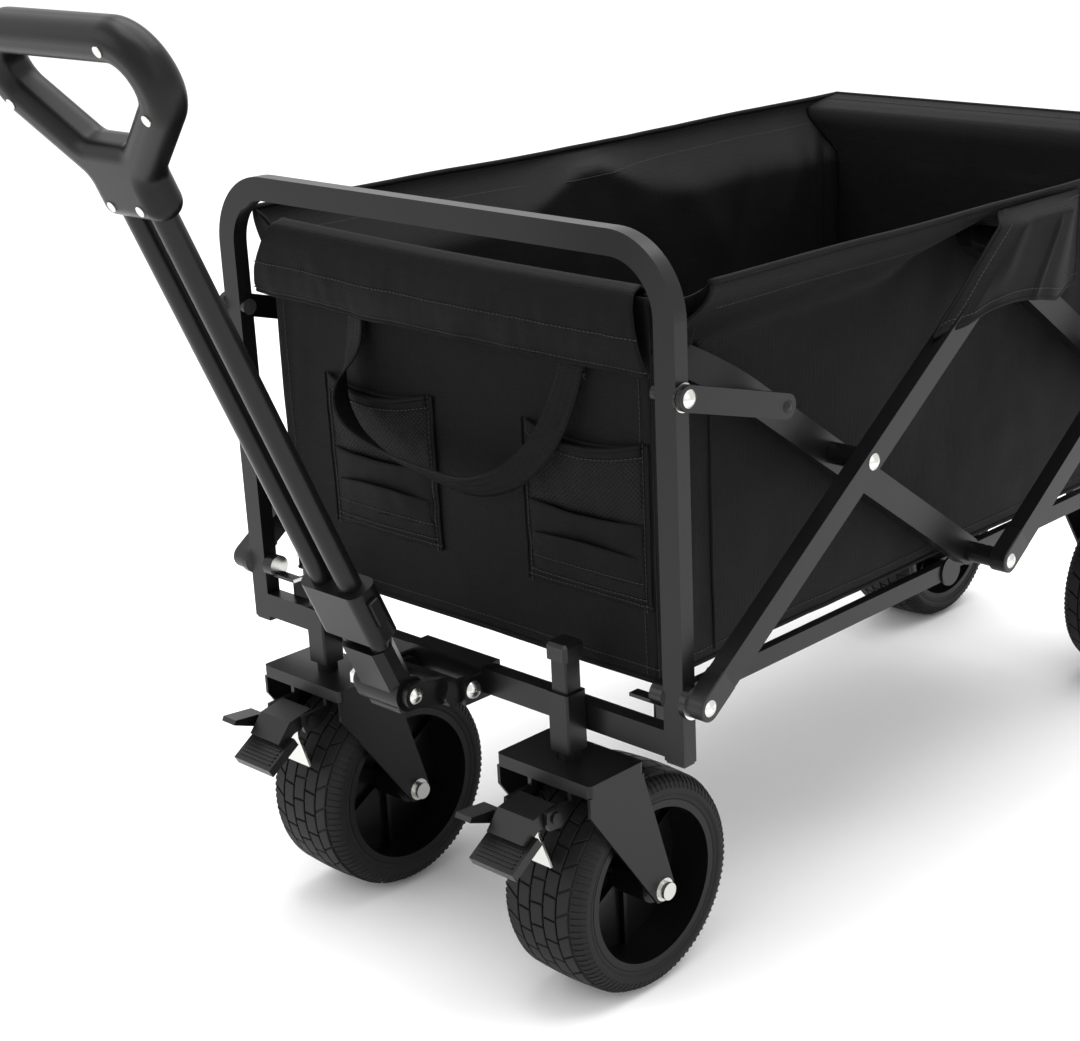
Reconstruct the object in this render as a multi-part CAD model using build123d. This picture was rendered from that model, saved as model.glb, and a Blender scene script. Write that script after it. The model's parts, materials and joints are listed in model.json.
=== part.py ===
from build123d import *
import os
from math import asin, atan2, cos, degrees, radians, sin, sqrt

"""Folding camp wagon: two steel end frames joined by a double scissor on each side,
a cloth basket between them, a telescoping pull handle and four wide wheels."""

# ---------------------------------------------------------------- driving dimensions (mm)
# The model is built with the front frame's front face at y = 0, then centred at the end.
FRAME_WIDTH = 520.0
FRAME_ABOVE_ARMS = 69.5
FRAME_BOTTOM = 238.0
FRAME_TUBE_X = 20.0
FRAME_TUBE_Y = 14.0
FRAME_CORNER = 62.0
REAR_FRAME_ABOVE_ARMS = 18.0
TUBE_WALL = 1.5
CROSSBAR_HEIGHT = 22.0
CROSSBAR_RISE = 3.0

ARM_HALF = 249.0
ARM_ANGLE = 34.8
FOLD_ANGLE = 40.0
LOW_PIVOT_Z = 290.0
OUTER_ARM_X = 15.0
OUTER_ARM_WIDTH = 21.0
INNER_ARM_X = 14.0
INNER_ARM_WIDTH = 25.0
SPACER = 6.0
INNER_ARM_REACH = 205.0
INNER_ARM_BEND = 80.0
REAR_ARM_REACH = 200.0
LINK_REACH = 112.0
LINK_THICKNESS = 5.0
LINK_WIDTH = 20.0
PIVOT_RADIUS = 4.0
RUNNING = 0.05
PLAY = 0.4
RIVET_RADIUS = 7.0
RIVET_HEIGHT = 3.0

RAIL_HEIGHT = 16.0
RAIL_THICKNESS = 9.0
RAIL_PIVOT_Y = 40.0
RAIL_PIVOT_Z = 267.0
RAIL_TURN = 70.0

POST_X = 148.0
POST_SIZE = 22.0
POST_BOTTOM = 226.0
POST_TOP = 276.0
POST_TUBE = 17.0
POST_TUBE_TOP = 304.0
POST_CAP = 23.0
POST_CAP_HEIGHT = 14.0
STEM_RADIUS = 5.0

WHEEL_RADIUS = 96.0
TYRE_WIDTH = 88.0
TYRE_HEIGHT = 23.0
RIM_WALL = 6.0
HUB_RADIUS = 15.0
AXLE_RADIUS = 5.0
CASTER_TRAIL = 50.0
FORK_WIDTH = 103.0
FORK_DEPTH = 62.0
FORK_TOP = 218.0
FORK_THICKNESS = 3.0
FORK_SKIRT = 11.0
SPOKE_COUNT = 6
SPOKE_DEPTH = 16.0

PEDAL_WIDTH = 48.0
BRAKE_PIVOT_Y = -42.0
BRAKE_PIVOT_Z = 188.0

TOW_PIVOT_Y = -14.0
TOW_PIVOT_Z = 249.0
TOW_MOUNT_WIDTH = 88.0
TOW_ARM_THICKNESS = 7.0
HANDLE_PIVOT_Y = -66.0
HANDLE_PIVOT_Z = 258.0
HANDLE_TILT = 23.5
HANDLE_TUBE_SPACING = 33.0
HANDLE_OUTER_RADIUS = 9.5
HANDLE_INNER_RADIUS = 8.2
HANDLE_WALL = 1.2
YOKE_TOP = 50.0
YOKE_SIDE_WALL = 8.5
COLLAR_BOTTOM = 64.0
COLLAR_TOP = 114.0
GRIP_BOTTOM = 452.0
GRIP_RING_LOW = 484.0
GRIP_SHOULDER = 545.0
GRIP_TOP = 603.0
GRIP_HALF_WIDTH = 106.0
GRIP_TOP_HALF_WIDTH = 90.0
GRIP_CORNER = 42.0
GRIP_BAR = 28.0
GRIP_THICKNESS = 30.0
GRIP_OUTER_ROUND = 13.0
GRIP_INNER_ROUND = 11.0
GRIP_NECK_ROUND = 9.0
GRIP_NECK = 34.0
SCREWS = ((61, 588), (78, 540), (16.5, 465))
SCREW_RADIUS = 4.0
SCREW_DEPTH = 2.4

CLOTH = 2.5
WALL_CLEARANCE = 9.0
WALL_Y = 21.0
FLOOR_Z = 288.0
FLOOR_THICKNESS = 6.0
RIM_OVERHANG = 1.0
RIM_ABOVE_ARMS = 30.0
FLARE_HEIGHT = 15.0
REAR_LIP = 60.0
SOFT_GAP = 0.3

# ---------------------------------------------------------------- derived places
HALF = FRAME_WIDTH / 2
FRONT = FRAME_TUBE_Y / 2
RUN = cos(radians(ARM_ANGLE))
RISE = sin(radians(ARM_ANGLE))
CROSS_FRONT = (FRONT + ARM_HALF * RUN, LOW_PIVOT_Z + ARM_HALF * RISE)
LOW_MIDDLE = (FRONT + 2 * ARM_HALF * RUN, LOW_PIVOT_Z)
HIGH_MIDDLE = (LOW_MIDDLE[0], LOW_PIVOT_Z + 2 * ARM_HALF * RISE)
REAR = FRONT + 4 * ARM_HALF * RUN
CROSS_REAR = (REAR - ARM_HALF * RUN, CROSS_FRONT[1])
ARMS_TOP = round(HIGH_MIDDLE[1])
FRAME_TOP = ARMS_TOP + FRAME_ABOVE_ARMS
REAR_FRAME_TOP = ARMS_TOP + REAR_FRAME_ABOVE_ARMS
RIM_Z = ARMS_TOP + RIM_ABOVE_ARMS
FLARE_Z = RIM_Z - FLARE_HEIGHT
RIM_RADIUS = WHEEL_RADIUS - TYRE_HEIGHT
YOKE_HALF_WIDTH = HANDLE_TUBE_SPACING / 2 + YOKE_SIDE_WALL
OUTER_IN = HALF + SPACER
OUTER_OUT = OUTER_IN + OUTER_ARM_X
INNER_OUT = HALF - FRAME_TUBE_X - 1
INNER_IN = INNER_OUT - INNER_ARM_X
WALL_X = INNER_IN - WALL_CLEARANCE
RIM_HALF_WIDTH = HALF + RIM_OVERHANG
BORE = PIVOT_RADIUS + RUNNING
FRAME_SIDES = (-1, 1)
POST_FRONT = -POST_SIZE / 2
POST_REAR = REAR + FRONT + POST_SIZE / 2
CROSSBAR_Z = FRAME_BOTTOM + CROSSBAR_RISE


def link_height():
    """Height of the link's frame pivot that keeps its length equal when open and folded."""
    near = ARM_HALF - LINK_REACH
    far = ARM_HALF + LINK_REACH
    folded = radians(ARM_ANGLE + FOLD_ANGLE)
    shrink = near**2 * (RUN**2 - cos(folded) ** 2)
    climb = far * (sin(folded) - RISE)
    return (far * (sin(folded) + RISE) - shrink / climb) / 2


LINK_PIVOT = (FRONT, LOW_PIVOT_Z + link_height())
LINK_END = (
    CROSS_FRONT[0] - LINK_REACH * RUN,
    CROSS_FRONT[1] + LINK_REACH * RISE,
)
REAR_LINK_PIVOT = (REAR, LINK_PIVOT[1])
REAR_LINK_END = (REAR + FRONT - LINK_END[0], LINK_END[1])

parts = {}


# ---------------------------------------------------------------- building blocks
def box(x, y, z):
    """Box between the two values of each axis."""
    size = [b - a for a, b in (x, y, z)]
    centre = [(a + b) / 2 for a, b in (x, y, z)]
    return Pos(*centre) * Box(*size)


def rod(x0, x1, y, z, radius):
    """Cylinder along X."""
    return Pos((x0 + x1) / 2, y, z) * Rot(0, 90, 0) * Cylinder(radius, abs(x1 - x0))


def rod_at(side, x0, x1, point, radius):
    """Cylinder along X on one side of the wagon."""
    return rod(side * x0, side * x1, point[0], point[1], radius)


def prism_x(points, x0, x1):
    """Outline in Y and Z, drawn out along X."""
    face = make_face(Plane.YZ * Polyline(*points, close=True))
    return Pos(x0, 0, 0) * extrude(face, x1 - x0, dir=(1, 0, 0))


def prism_y(points, y0, y1):
    """Outline in X and Z, drawn out along Y."""
    face = make_face(Plane.XZ * Polyline(*points, close=True))
    return Pos(0, y0, 0) * extrude(face, y1 - y0, dir=(0, 1, 0))


def mirrored(points):
    """Right half of an outline and its mirror image, as one closed outline."""
    return points + [(-x, z) for x, z in reversed(points)]


def bar(start, end, width, x0, x1, overhang=0.0):
    """Flat bar with round ends between two points in Y and Z."""
    run, climb = end[0] - start[0], end[1] - start[1]
    length = sqrt(run**2 + climb**2)
    slot = SlotCenterToCenter(length + 2 * overhang, width)
    turn = Rot(0, 0, degrees(atan2(climb, run)))
    middle = Pos((start[0] + end[0]) / 2, (start[1] + end[1]) / 2)
    return Pos(min(x0, x1), 0, 0) * extrude(Plane.YZ * middle * turn * slot, abs(x1 - x0))


def tube_bar(start, end, width, x0, x1, solid_ends):
    """Rectangular tube with round closed ends, hollow between the solid ends."""
    shell = bar(start, end, width, x0, x1)
    inner = (min(x0, x1) + TUBE_WALL, max(x0, x1) - TUBE_WALL)
    core = bar(start, end, width - 2 * TUBE_WALL, *inner, -solid_ends)
    return shell - core


def along(centre, angle, distance):
    """Point at a distance from a centre, along a direction in Y and Z."""
    turn = radians(angle)
    return (centre[0] + distance * cos(turn), centre[1] + distance * sin(turn))


def rivet(side, x, point, radius=RIVET_RADIUS, height=RIVET_HEIGHT):
    """Low dome head on a face that looks away from the middle."""
    dome_radius = (radius**2 + height**2) / (2 * height)
    half = asin(radius / dome_radius) / 2
    middle = (dome_radius * sin(half), height - dome_radius * (1 - cos(half)))
    arc = ThreePointArc((radius, 0), middle, (0, height))
    outline = [Line((0, height), (0, 0)), Line((0, 0), (radius, 0)), arc]
    dome = revolve(make_face(outline), Axis.Y)
    return Pos(side * x, point[0], point[1]) * Rot(0, 0, -side * 90) * dome


def pivot_pin(side, inner, outer, point, spacers):
    """Bolt along X with a dome head outside and a nut inside, and its spacer rings."""
    pin = rod_at(side, inner - 4, outer + 0.2, point, PIVOT_RADIUS)
    pin += rivet(side, outer + 0.2, point)
    pin += rod_at(side, inner - 5, inner - 0.3, point, RIVET_RADIUS)
    for start, end, radius in spacers:
        pin += rod_at(side, start, end, point, radius)
    return pin


def gather(*pieces):
    """Several pieces of one node, kept as separate solids."""
    return Compound(children=[Compound(piece.solids()) for piece in pieces])


def both(build):
    """The same piece on both sides, as one compound."""
    return gather(*[build(side) for side in FRAME_SIDES])


def named(side):
    """Name ending for a side."""
    return "right" if side > 0 else "left"


# ---------------------------------------------------------------- end frames
def end_frame(top):
    """Inverted U of rectangular tube, open at the bottom of both legs."""
    x = HALF - FRAME_TUBE_X / 2
    z = top - FRAME_TUBE_X / 2
    radius = FRAME_CORNER - FRAME_TUBE_X / 2
    path = Plane.XZ * FilletPolyline(
        (-x, FRAME_BOTTOM), (-x, z), (x, z), (x, FRAME_BOTTOM), radius=radius
    )
    place = Plane(origin=(-x, 0, FRAME_BOTTOM), z_dir=(0, 0, 1))
    section = Rectangle(FRAME_TUBE_X, FRAME_TUBE_Y)
    section -= Rectangle(FRAME_TUBE_X - 2 * TUBE_WALL, FRAME_TUBE_Y - 2 * TUBE_WALL)
    return Pos(0, FRONT, 0) * sweep(place * section, path)


def frame_holes(point):
    """Bolt holes along X through both legs."""
    return rod(-HALF - 1, HALF + 1, point[0], point[1], PIVOT_RADIUS)


def leg_plugs():
    """Plastic plugs in the bottom of the legs."""
    x = HALF - FRAME_TUBE_X / 2
    half_x = FRAME_TUBE_X / 2 - TUBE_WALL
    half_y = FRAME_TUBE_Y / 2 - TUBE_WALL
    z = (FRAME_BOTTOM, FRAME_BOTTOM + 18)
    foot = (FRAME_BOTTOM - 2, FRAME_BOTTOM)

    def plug(side):
        centre = side * x
        stem = box((centre - half_x, centre + half_x), (FRONT - half_y, FRONT + half_y), z)
        head = box((centre - 9, centre + 9), (FRONT - 6, FRONT + 6), foot)
        return stem + head

    return both(plug)


def crossbar():
    """Rectangular tube between the legs."""
    x = HALF - FRAME_TUBE_X
    z = (CROSSBAR_Z, CROSSBAR_Z + CROSSBAR_HEIGHT)
    outer = box((-x, x), (0, FRAME_TUBE_Y), z)
    hollow_z = (z[0] + TUBE_WALL, z[1] - TUBE_WALL)
    hollow = box((-x, x), (TUBE_WALL, FRAME_TUBE_Y - TUBE_WALL), hollow_z)
    return outer - hollow


def post(side, y):
    """Square post with a bore for the caster stem."""
    x = side * POST_X
    half = POST_SIZE / 2
    body = box((x - half, x + half), (y - half, y + half), (POST_BOTTOM, POST_TOP))
    body = chamfer(body.edges().filter_by(Axis.Z), 1.5)
    return body - Pos(x, y, (POST_BOTTOM + POST_TOP) / 2) * Cylinder(STEM_RADIUS + RUNNING, 60)


def post_tube(y):
    """Narrower square tube above each post."""
    half = POST_TUBE / 2

    def tube(side):
        x = side * POST_X
        body = box((x - half, x + half), (y - half, y + half), (POST_TOP, POST_TUBE_TOP))
        return chamfer(body.edges().filter_by(Axis.Z), 1.2)

    return both(tube)


def post_cap(y):
    """Square plastic cap with sloped shoulders on each post tube."""

    def cap(side):
        x = side * POST_X
        middle = POST_TUBE_TOP + POST_CAP_HEIGHT / 2 - 2
        body = Pos(x, y, middle + 2) * Box(POST_CAP, POST_CAP, POST_CAP_HEIGHT)
        body = chamfer(body.edges().filter_by(Axis.Z), 3)
        return chamfer(body.faces().sort_by(Axis.Z)[-1].edges(), 2.5)

    return both(cap)


def build_front_frame():
    frame = end_frame(FRAME_TOP)
    parts["front_frame"] = frame - frame_holes((FRONT, LOW_PIVOT_Z)) - frame_holes(LINK_PIVOT)
    depth = RAIL_OUTER_X - RAIL_THICKNESS
    brackets = rail_brackets(RAIL_PIVOT_Y, FRAME_TUBE_Y, depth)
    parts["front_crossbar"] = gather(crossbar(), brackets)
    parts["front_posts"] = gather(both(lambda side: post(side, POST_FRONT)), post_tube(POST_FRONT))
    parts["front_caps"] = gather(leg_plugs(), post_cap(POST_FRONT))

    def bolts(side):
        low = pivot_pin(
            side,
            HALF - FRAME_TUBE_X,
            OUTER_OUT,
            (FRONT, LOW_PIVOT_Z),
            [(HALF, OUTER_IN - 0.3, 13)],
        )
        eye = rod_at(side, INNER_IN + 3, HALF - FRAME_TUBE_X, (FRONT, LOW_PIVOT_Z), 10)
        tongue_x = sorted((side * (INNER_IN + 5), side * (INNER_IN - 22)))
        eye += box(tongue_x, (FRONT - 5, FRONT + 5), (LOW_PIVOT_Z - 9, LOW_PIVOT_Z - 6))
        high = pivot_pin(
            side,
            HALF - FRAME_TUBE_X,
            HALF + 2 + LINK_THICKNESS,
            LINK_PIVOT,
            [(HALF, HALF + 1.8, 11)],
        )
        return gather(low + eye, high)

    parts["front_frame_bolts"] = gather(both(bolts), tow_bolt())


def build_rear_frame():
    shift = Pos(0, REAR - FRONT, 0)
    frame = shift * end_frame(REAR_FRAME_TOP)
    frame -= frame_holes((REAR, LOW_PIVOT_Z))
    parts["rear_frame"] = frame - frame_holes(REAR_LINK_PIVOT)
    depth = RAIL_INNER_X - RAIL_THICKNESS
    brackets = rail_brackets(REAR_RAIL_PIVOT_Y, REAR - FRONT, depth)
    parts["rear_crossbar"] = gather(shift * crossbar(), brackets)
    parts["rear_posts"] = gather(both(lambda side: post(side, POST_REAR)), post_tube(POST_REAR))
    parts["rear_caps"] = gather(shift * leg_plugs(), post_cap(POST_REAR))

    def bolts(side):
        low = rod_at(side, INNER_IN - 4, HALF, (REAR, LOW_PIVOT_Z), PIVOT_RADIUS)
        low += rivet(side, HALF, (REAR, LOW_PIVOT_Z))
        low += rod_at(side, INNER_IN - 5, INNER_IN - 0.3, (REAR, LOW_PIVOT_Z), RIVET_RADIUS)
        high = pivot_pin(
            side,
            HALF - FRAME_TUBE_X,
            HALF + 0.4 + LINK_THICKNESS,
            REAR_LINK_PIVOT,
            [],
        )
        return gather(low, high)

    axles = both(lambda side: axle(side, POST_REAR))
    parts["rear_frame_bolts"] = gather(both(bolts), axles)


# ---------------------------------------------------------------- scissor arms
def outer_arm(side, low, high):
    """Outer arm from its low end past the crossing to its high end."""
    return tube_bar(low, high, OUTER_ARM_WIDTH, side * OUTER_IN, side * OUTER_OUT, 20)


def crossing_pins(point, more):
    """Bolts that join an outer arm to an inner arm, with the long spacer between them."""

    def pins(side):
        gap = (INNER_OUT + 0.3, OUTER_IN, 9)
        made = [pivot_pin(side, INNER_IN, OUTER_OUT, place, [gap]) for place in (point, *more)]
        return gather(*made)

    return both(pins)


def bore_through(body, side, point, radius):
    """Bolt hole along X through one side's arms."""
    return body - rod_at(side, INNER_IN - 2, OUTER_OUT + 2, point, radius)


def build_outer_front():
    def arm(side):
        made = outer_arm(side, (FRONT, LOW_PIVOT_Z), HIGH_MIDDLE)
        made = bore_through(made, side, (FRONT, LOW_PIVOT_Z), BORE)
        for point in (CROSS_FRONT, HIGH_MIDDLE):
            made = bore_through(made, side, point, PIVOT_RADIUS)
        return made

    parts["outer_front_arms"] = both(arm)
    parts["outer_front_bolts"] = crossing_pins(CROSS_FRONT, [HIGH_MIDDLE])


def build_inner_front():
    """One tube bent into a U: both inner arms and the cross tube under the front hem."""
    x = (INNER_IN + INNER_OUT) / 2
    reach, bend = INNER_ARM_REACH, INNER_ARM_BEND
    low = -ARM_HALF
    path = FilletPolyline((-x, low), (-x, reach), (x, reach), (x, low), radius=bend)
    place = Plane(origin=(-x, low, 0), x_dir=(1, 0, 0), z_dir=(0, 1, 0))
    section = Rectangle(INNER_ARM_X, INNER_ARM_WIDTH)
    section -= Rectangle(INNER_ARM_X - 2 * TUBE_WALL, INNER_ARM_WIDTH - 2 * TUBE_WALL)
    tube = sweep(place * section, path)
    for side in FRAME_SIDES:
        tube += Pos(side * x, low, 0) * Rot(0, 90, 0) * Cylinder(INNER_ARM_WIDTH / 2, INNER_ARM_X)
    tube = Pos(0, *CROSS_FRONT) * Rot(180 - ARM_ANGLE, 0, 0) * tube
    for side in FRAME_SIDES:
        tube = bore_through(tube, side, CROSS_FRONT, BORE)
        tube = bore_through(tube, side, LOW_MIDDLE, PIVOT_RADIUS)
    parts["inner_front_arm"] = tube
    parts["inner_front_bolts"] = crossing_pins(LOW_MIDDLE, [])


def build_outer_rear():
    high = along(CROSS_REAR, ARM_ANGLE, REAR_ARM_REACH)

    def arm(side):
        made = outer_arm(side, LOW_MIDDLE, high)
        made = bore_through(made, side, LOW_MIDDLE, BORE)
        return bore_through(made, side, CROSS_REAR, PIVOT_RADIUS)

    parts["outer_rear_arms"] = both(arm)
    parts["outer_rear_bolts"] = crossing_pins(CROSS_REAR, [])


def build_inner_rear():
    def arm(side):
        x = (side * INNER_IN, side * INNER_OUT)
        made = tube_bar(HIGH_MIDDLE, (REAR, LOW_PIVOT_Z), INNER_ARM_WIDTH, *x, 20)
        made = bore_through(made, side, HIGH_MIDDLE, PIVOT_RADIUS + PLAY)
        for point in (CROSS_REAR, (REAR, LOW_PIVOT_Z)):
            made = bore_through(made, side, point, BORE)
        return made

    parts["inner_rear_arms"] = both(arm)


def frame_link(side, pivot, end, x0, spacer_end):
    """Short link from a leg to an arm; its far rivet's spacer stops short of the arm."""
    x1 = x0 + LINK_THICKNESS
    link = bar(pivot, end, LINK_WIDTH, side * x0, side * x1)
    link -= rod_at(side, x0 - 1, x1 + 1, pivot, BORE)
    if spacer_end < x0:
        link += rod_at(side, spacer_end, x0, end, 8)
    return link + rivet(side, x1, end, 5.5, 0.4 if spacer_end > x0 else 2.5)


def build_links():
    x0 = HALF + 2
    stop = INNER_OUT + PLAY
    parts["front_links"] = both(lambda side: frame_link(side, LINK_PIVOT, LINK_END, x0, stop))
    rear = (REAR_LINK_PIVOT, REAR_LINK_END, HALF + 0.3, HALF + 9)
    parts["rear_links"] = both(lambda side: frame_link(side, *rear))


# ---------------------------------------------------------------- bottom rails
RAIL_OUTER_X = INNER_IN - 8
RAIL_INNER_X = RAIL_OUTER_X - RAIL_THICKNESS - 1.5
REAR_RAIL_PIVOT_Y = REAR + FRONT - RAIL_PIVOT_Y
RAIL_MIDDLE_Y = (RAIL_PIVOT_Y + REAR_RAIL_PIVOT_Y) / 2
RAIL_HUB = 14.0


def rail_brackets(pivot_y, edge_y, depth):
    """Plate and pin on each end of the crossbar that carry a rail's eye."""

    def bracket(side):
        x = side * (RAIL_OUTER_X + 1.5)
        ends = sorted((edge_y, pivot_y + (10 if pivot_y > edge_y else -10)))
        plate = box(sorted((x - 1.2, x + 1.2)), ends, (RAIL_PIVOT_Z - 14, RAIL_PIVOT_Z + 11))
        pin = rod_at(side, depth - 2, RAIL_OUTER_X + 1.5, (pivot_y, RAIL_PIVOT_Z), PIVOT_RADIUS)
        head = rod_at(side, depth - 4, depth - 0.4, (pivot_y, RAIL_PIVOT_Z), RIVET_RADIUS)
        return plate + pin + head

    return both(bracket)


def rail(side, pivot_y, hub_y, outer_x):
    """Rectangular tube between its eye and the middle hub."""
    x = (side * (outer_x - RAIL_THICKNESS), side * outer_x)
    start, end = (pivot_y, RAIL_PIVOT_Z), (hub_y, RAIL_PIVOT_Z)
    body = tube_bar(start, end, RAIL_HEIGHT, *x, 14)
    return body - rod_at(side, outer_x - RAIL_THICKNESS - 1, outer_x + 1, start, BORE)


def rail_with_hub(side, pivot_y, outer_x, hub_x):
    """Rail with the flat disc of the middle hub on the side away from the other rail."""
    body = rail(side, pivot_y, RAIL_MIDDLE_Y, outer_x)
    return body + rod_at(side, *hub_x, (RAIL_MIDDLE_Y, RAIL_PIVOT_Z), RAIL_HUB)


def build_rails():
    outer_hub = (RAIL_OUTER_X, RAIL_OUTER_X + 2)
    inner_face = RAIL_INNER_X - RAIL_THICKNESS
    inner_hub = (inner_face - 2, inner_face)
    parts["front_rails"] = both(
        lambda side: rail_with_hub(side, RAIL_PIVOT_Y, RAIL_OUTER_X, outer_hub)
    )
    parts["rear_rails"] = both(
        lambda side: rail_with_hub(side, REAR_RAIL_PIVOT_Y, RAIL_INNER_X, inner_hub)
    )


# ---------------------------------------------------------------- wheels and casters
def wheel_place(side, post_y):
    return side * POST_X, post_y + CASTER_TRAIL


def tyre(x, y):
    """Wide tyre with round shoulders and a slightly crowned tread."""
    half = TYRE_WIDTH / 2
    shoulder = 12.0
    outline = [
        (-half + 3, RIM_RADIUS),
        (-half, RIM_RADIUS + 4),
        (-half, WHEEL_RADIUS - shoulder),
        (-half + 4, WHEEL_RADIUS - 4),
        (-half + shoulder, WHEEL_RADIUS - 1),
        (0, WHEEL_RADIUS),
    ]
    points = [(r, across) for across, r in outline]
    points += [(r, -across) for across, r in reversed(outline[:-1])]
    face = make_face(Plane.XZ * Polyline(*points, close=True))
    body = revolve(face, Axis.Z)
    return Pos(x, y, WHEEL_RADIUS) * Rot(0, 90, 0) * body


def rim(x, y):
    """Deep-dish rim: barrel, centre disc, hub and ribs."""
    half = TYRE_WIDTH / 2
    barrel = Cylinder(RIM_RADIUS, TYRE_WIDTH - 4) - Cylinder(RIM_RADIUS - RIM_WALL, TYRE_WIDTH)
    disc = Cylinder(RIM_RADIUS - 3, 5)
    hub = Cylinder(HUB_RADIUS, 2 * half - 4)
    body = barrel + disc + hub
    rib_length = RIM_RADIUS - RIM_WALL - HUB_RADIUS + 6
    for turn in range(SPOKE_COUNT):
        rib = Pos(HUB_RADIUS + rib_length / 2 - 3, 0, 0) * Box(rib_length, 4, SPOKE_DEPTH)
        body += Rot(0, 0, turn * 360 / SPOKE_COUNT) * rib
    body -= Cylinder(AXLE_RADIUS + RUNNING, TYRE_WIDTH + 2)
    return Pos(x, y, WHEEL_RADIUS) * Rot(0, 90, 0) * body


def fork(side, post_y):
    """Steel crown plate with a skirt and two arms that trail back to the axle."""
    x = side * POST_X
    wide, deep = FORK_WIDTH / 2, FORK_DEPTH / 2
    low = FORK_TOP - FORK_SKIRT
    y = (post_y - deep, post_y + deep)
    crown = box((x - wide, x + wide), y, (low, FORK_TOP))
    crown = fillet(crown.edges().filter_by(Axis.Z), 4)
    inner_x = (x - wide + FORK_THICKNESS, x + wide - FORK_THICKNESS)
    inner_y = (y[0] + FORK_THICKNESS, y[1] + 1)
    crown -= box(inner_x, inner_y, (low - 1, FORK_TOP - FORK_THICKNESS))
    axle_y = post_y + CASTER_TRAIL
    outline = [
        (y[0], low + 0.5),
        (y[1], low + 0.5),
        (y[1], low - 4),
        (axle_y + 13, WHEEL_RADIUS + 2),
        (axle_y + 7, WHEEL_RADIUS - 11),
        (axle_y - 7, WHEEL_RADIUS - 11),
        (axle_y - 13, WHEEL_RADIUS - 2),
        (y[0], low - 16),
    ]
    body = crown
    for edge in (x - wide, x + wide - FORK_THICKNESS):
        body += prism_x(outline, edge, edge + FORK_THICKNESS)
    body -= rod(x - wide - 1, x + wide + 1, axle_y, WHEEL_RADIUS, AXLE_RADIUS)
    stem_top = POST_TOP - 8
    stem = Pos(x, post_y, (FORK_TOP - 1 + stem_top) / 2) * Cylinder(STEM_RADIUS, stem_top - FORK_TOP + 1)
    washer_top = POST_BOTTOM - 0.3
    washer = Pos(x, post_y, (FORK_TOP + washer_top) / 2) * Cylinder(9, washer_top - FORK_TOP)
    return body + stem + washer


def axle(side, post_y):
    """Axle bolt with a washer and a dome nut at each end."""
    x, y = wheel_place(side, post_y)
    wide = FORK_WIDTH / 2
    body = rod(x - wide - 6, x + wide + 6, y, WHEEL_RADIUS, AXLE_RADIUS)
    for end in (-1, 1):
        body += rod(x + end * wide, x + end * (wide + 1.5), y, WHEEL_RADIUS, 10)
        body += rod(x + end * (wide + 1.5), x + end * (wide + 7), y, WHEEL_RADIUS, 7.5)
        sleeve = (TYRE_WIDTH / 2 - 1.7, wide - FORK_THICKNESS)
        body += rod(x + end * sleeve[0], x + end * sleeve[1], y, WHEEL_RADIUS, 8)
    return body


def build_wheels():
    for end, post_y in (("front", POST_FRONT), ("rear", POST_REAR)):
        for side in FRAME_SIDES:
            x, y = wheel_place(side, post_y)
            name = end + "_" + named(side)
            parts["tyre_" + name] = tyre(x, y)
            parts["rim_" + name] = rim(x, y)
            if end == "front":
                parts["fork_" + named(side)] = fork(side, post_y)
                parts["axle_" + named(side)] = axle(side, post_y)
    parts["rear_forks"] = both(lambda side: fork(side, POST_REAR))


# ---------------------------------------------------------------- brakes
BRAKE_GAP = 0.5


def brake_place(side):
    return Pos(side * POST_X, POST_FRONT, 0)


def brake_housing(side):
    """Plate under the crown with two cheeks that hold the brake's pins."""
    top = FORK_TOP - FORK_THICKNESS
    body = box((-26, 26), (-FORK_DEPTH / 2 + FORK_THICKNESS, -6), (top - 4, top))
    cheek = [
        (-24, top - 2),
        (-24, BRAKE_PIVOT_Z + 8),
        (BRAKE_PIVOT_Y - 9, BRAKE_PIVOT_Z + 7),
        (BRAKE_PIVOT_Y - 10, BRAKE_PIVOT_Z),
        (BRAKE_PIVOT_Y - 7, BRAKE_PIVOT_Z - 9),
        (BRAKE_PIVOT_Y + 6, BRAKE_PIVOT_Z - 10),
        (-20, BRAKE_PIVOT_Z + 2),
        (-12, top - 2),
    ]
    for x in (-24, 20):
        body += prism_x(cheek, x, x + 4)
    body += rod(-25.5, 25.5, BRAKE_PIVOT_Y, BRAKE_PIVOT_Z, 3)
    for x in (-26, 24):
        body += rod(x, x + 2, BRAKE_PIVOT_Y, BRAKE_PIVOT_Z, 5)
    return brake_place(side) * body


def brake_pedal(side):
    """Pedal that turns about the housing's pin, with a cover and a foot pad."""
    half = 20 - BRAKE_GAP
    hub = rod(-half, half, BRAKE_PIVOT_Y, BRAKE_PIVOT_Z, 8)
    cover = prism_x(
        [(-38, 197), (-62, 192), (-76, 176), (-70, 172), (-58, 180), (-40, 184)], -half, half
    )
    pad = prism_x([(-62, 178), (-92, 158), (-88, 151), (-58, 171)], -PEDAL_WIDTH / 2, PEDAL_WIDTH / 2)
    body = hub + cover + pad
    for step in range(6):
        place = Pos(0, -72 - step * 3.1, 171.7 - step * 2.07) * Rot(33.7, 0, 0)
        body += place * Box(PEDAL_WIDTH - 8, 1.4, 1.6)
    body -= rod(-30, 30, BRAKE_PIVOT_Y, BRAKE_PIVOT_Z, 3 + RUNNING)
    return brake_place(side) * body


def brake_tab(side):
    """Release tab beside the pedal."""
    tab = prism_x([(-56, 187), (-86, 190), (-88, 186), (-62, 176), (-55, 178)], -42, -24.6)
    arm = prism_x([(-56, 187), (-62, 187.6), (-66, 177.6), (-55, 178)], -24.6, -19.4)
    return brake_place(side) * (tab + arm)


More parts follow.
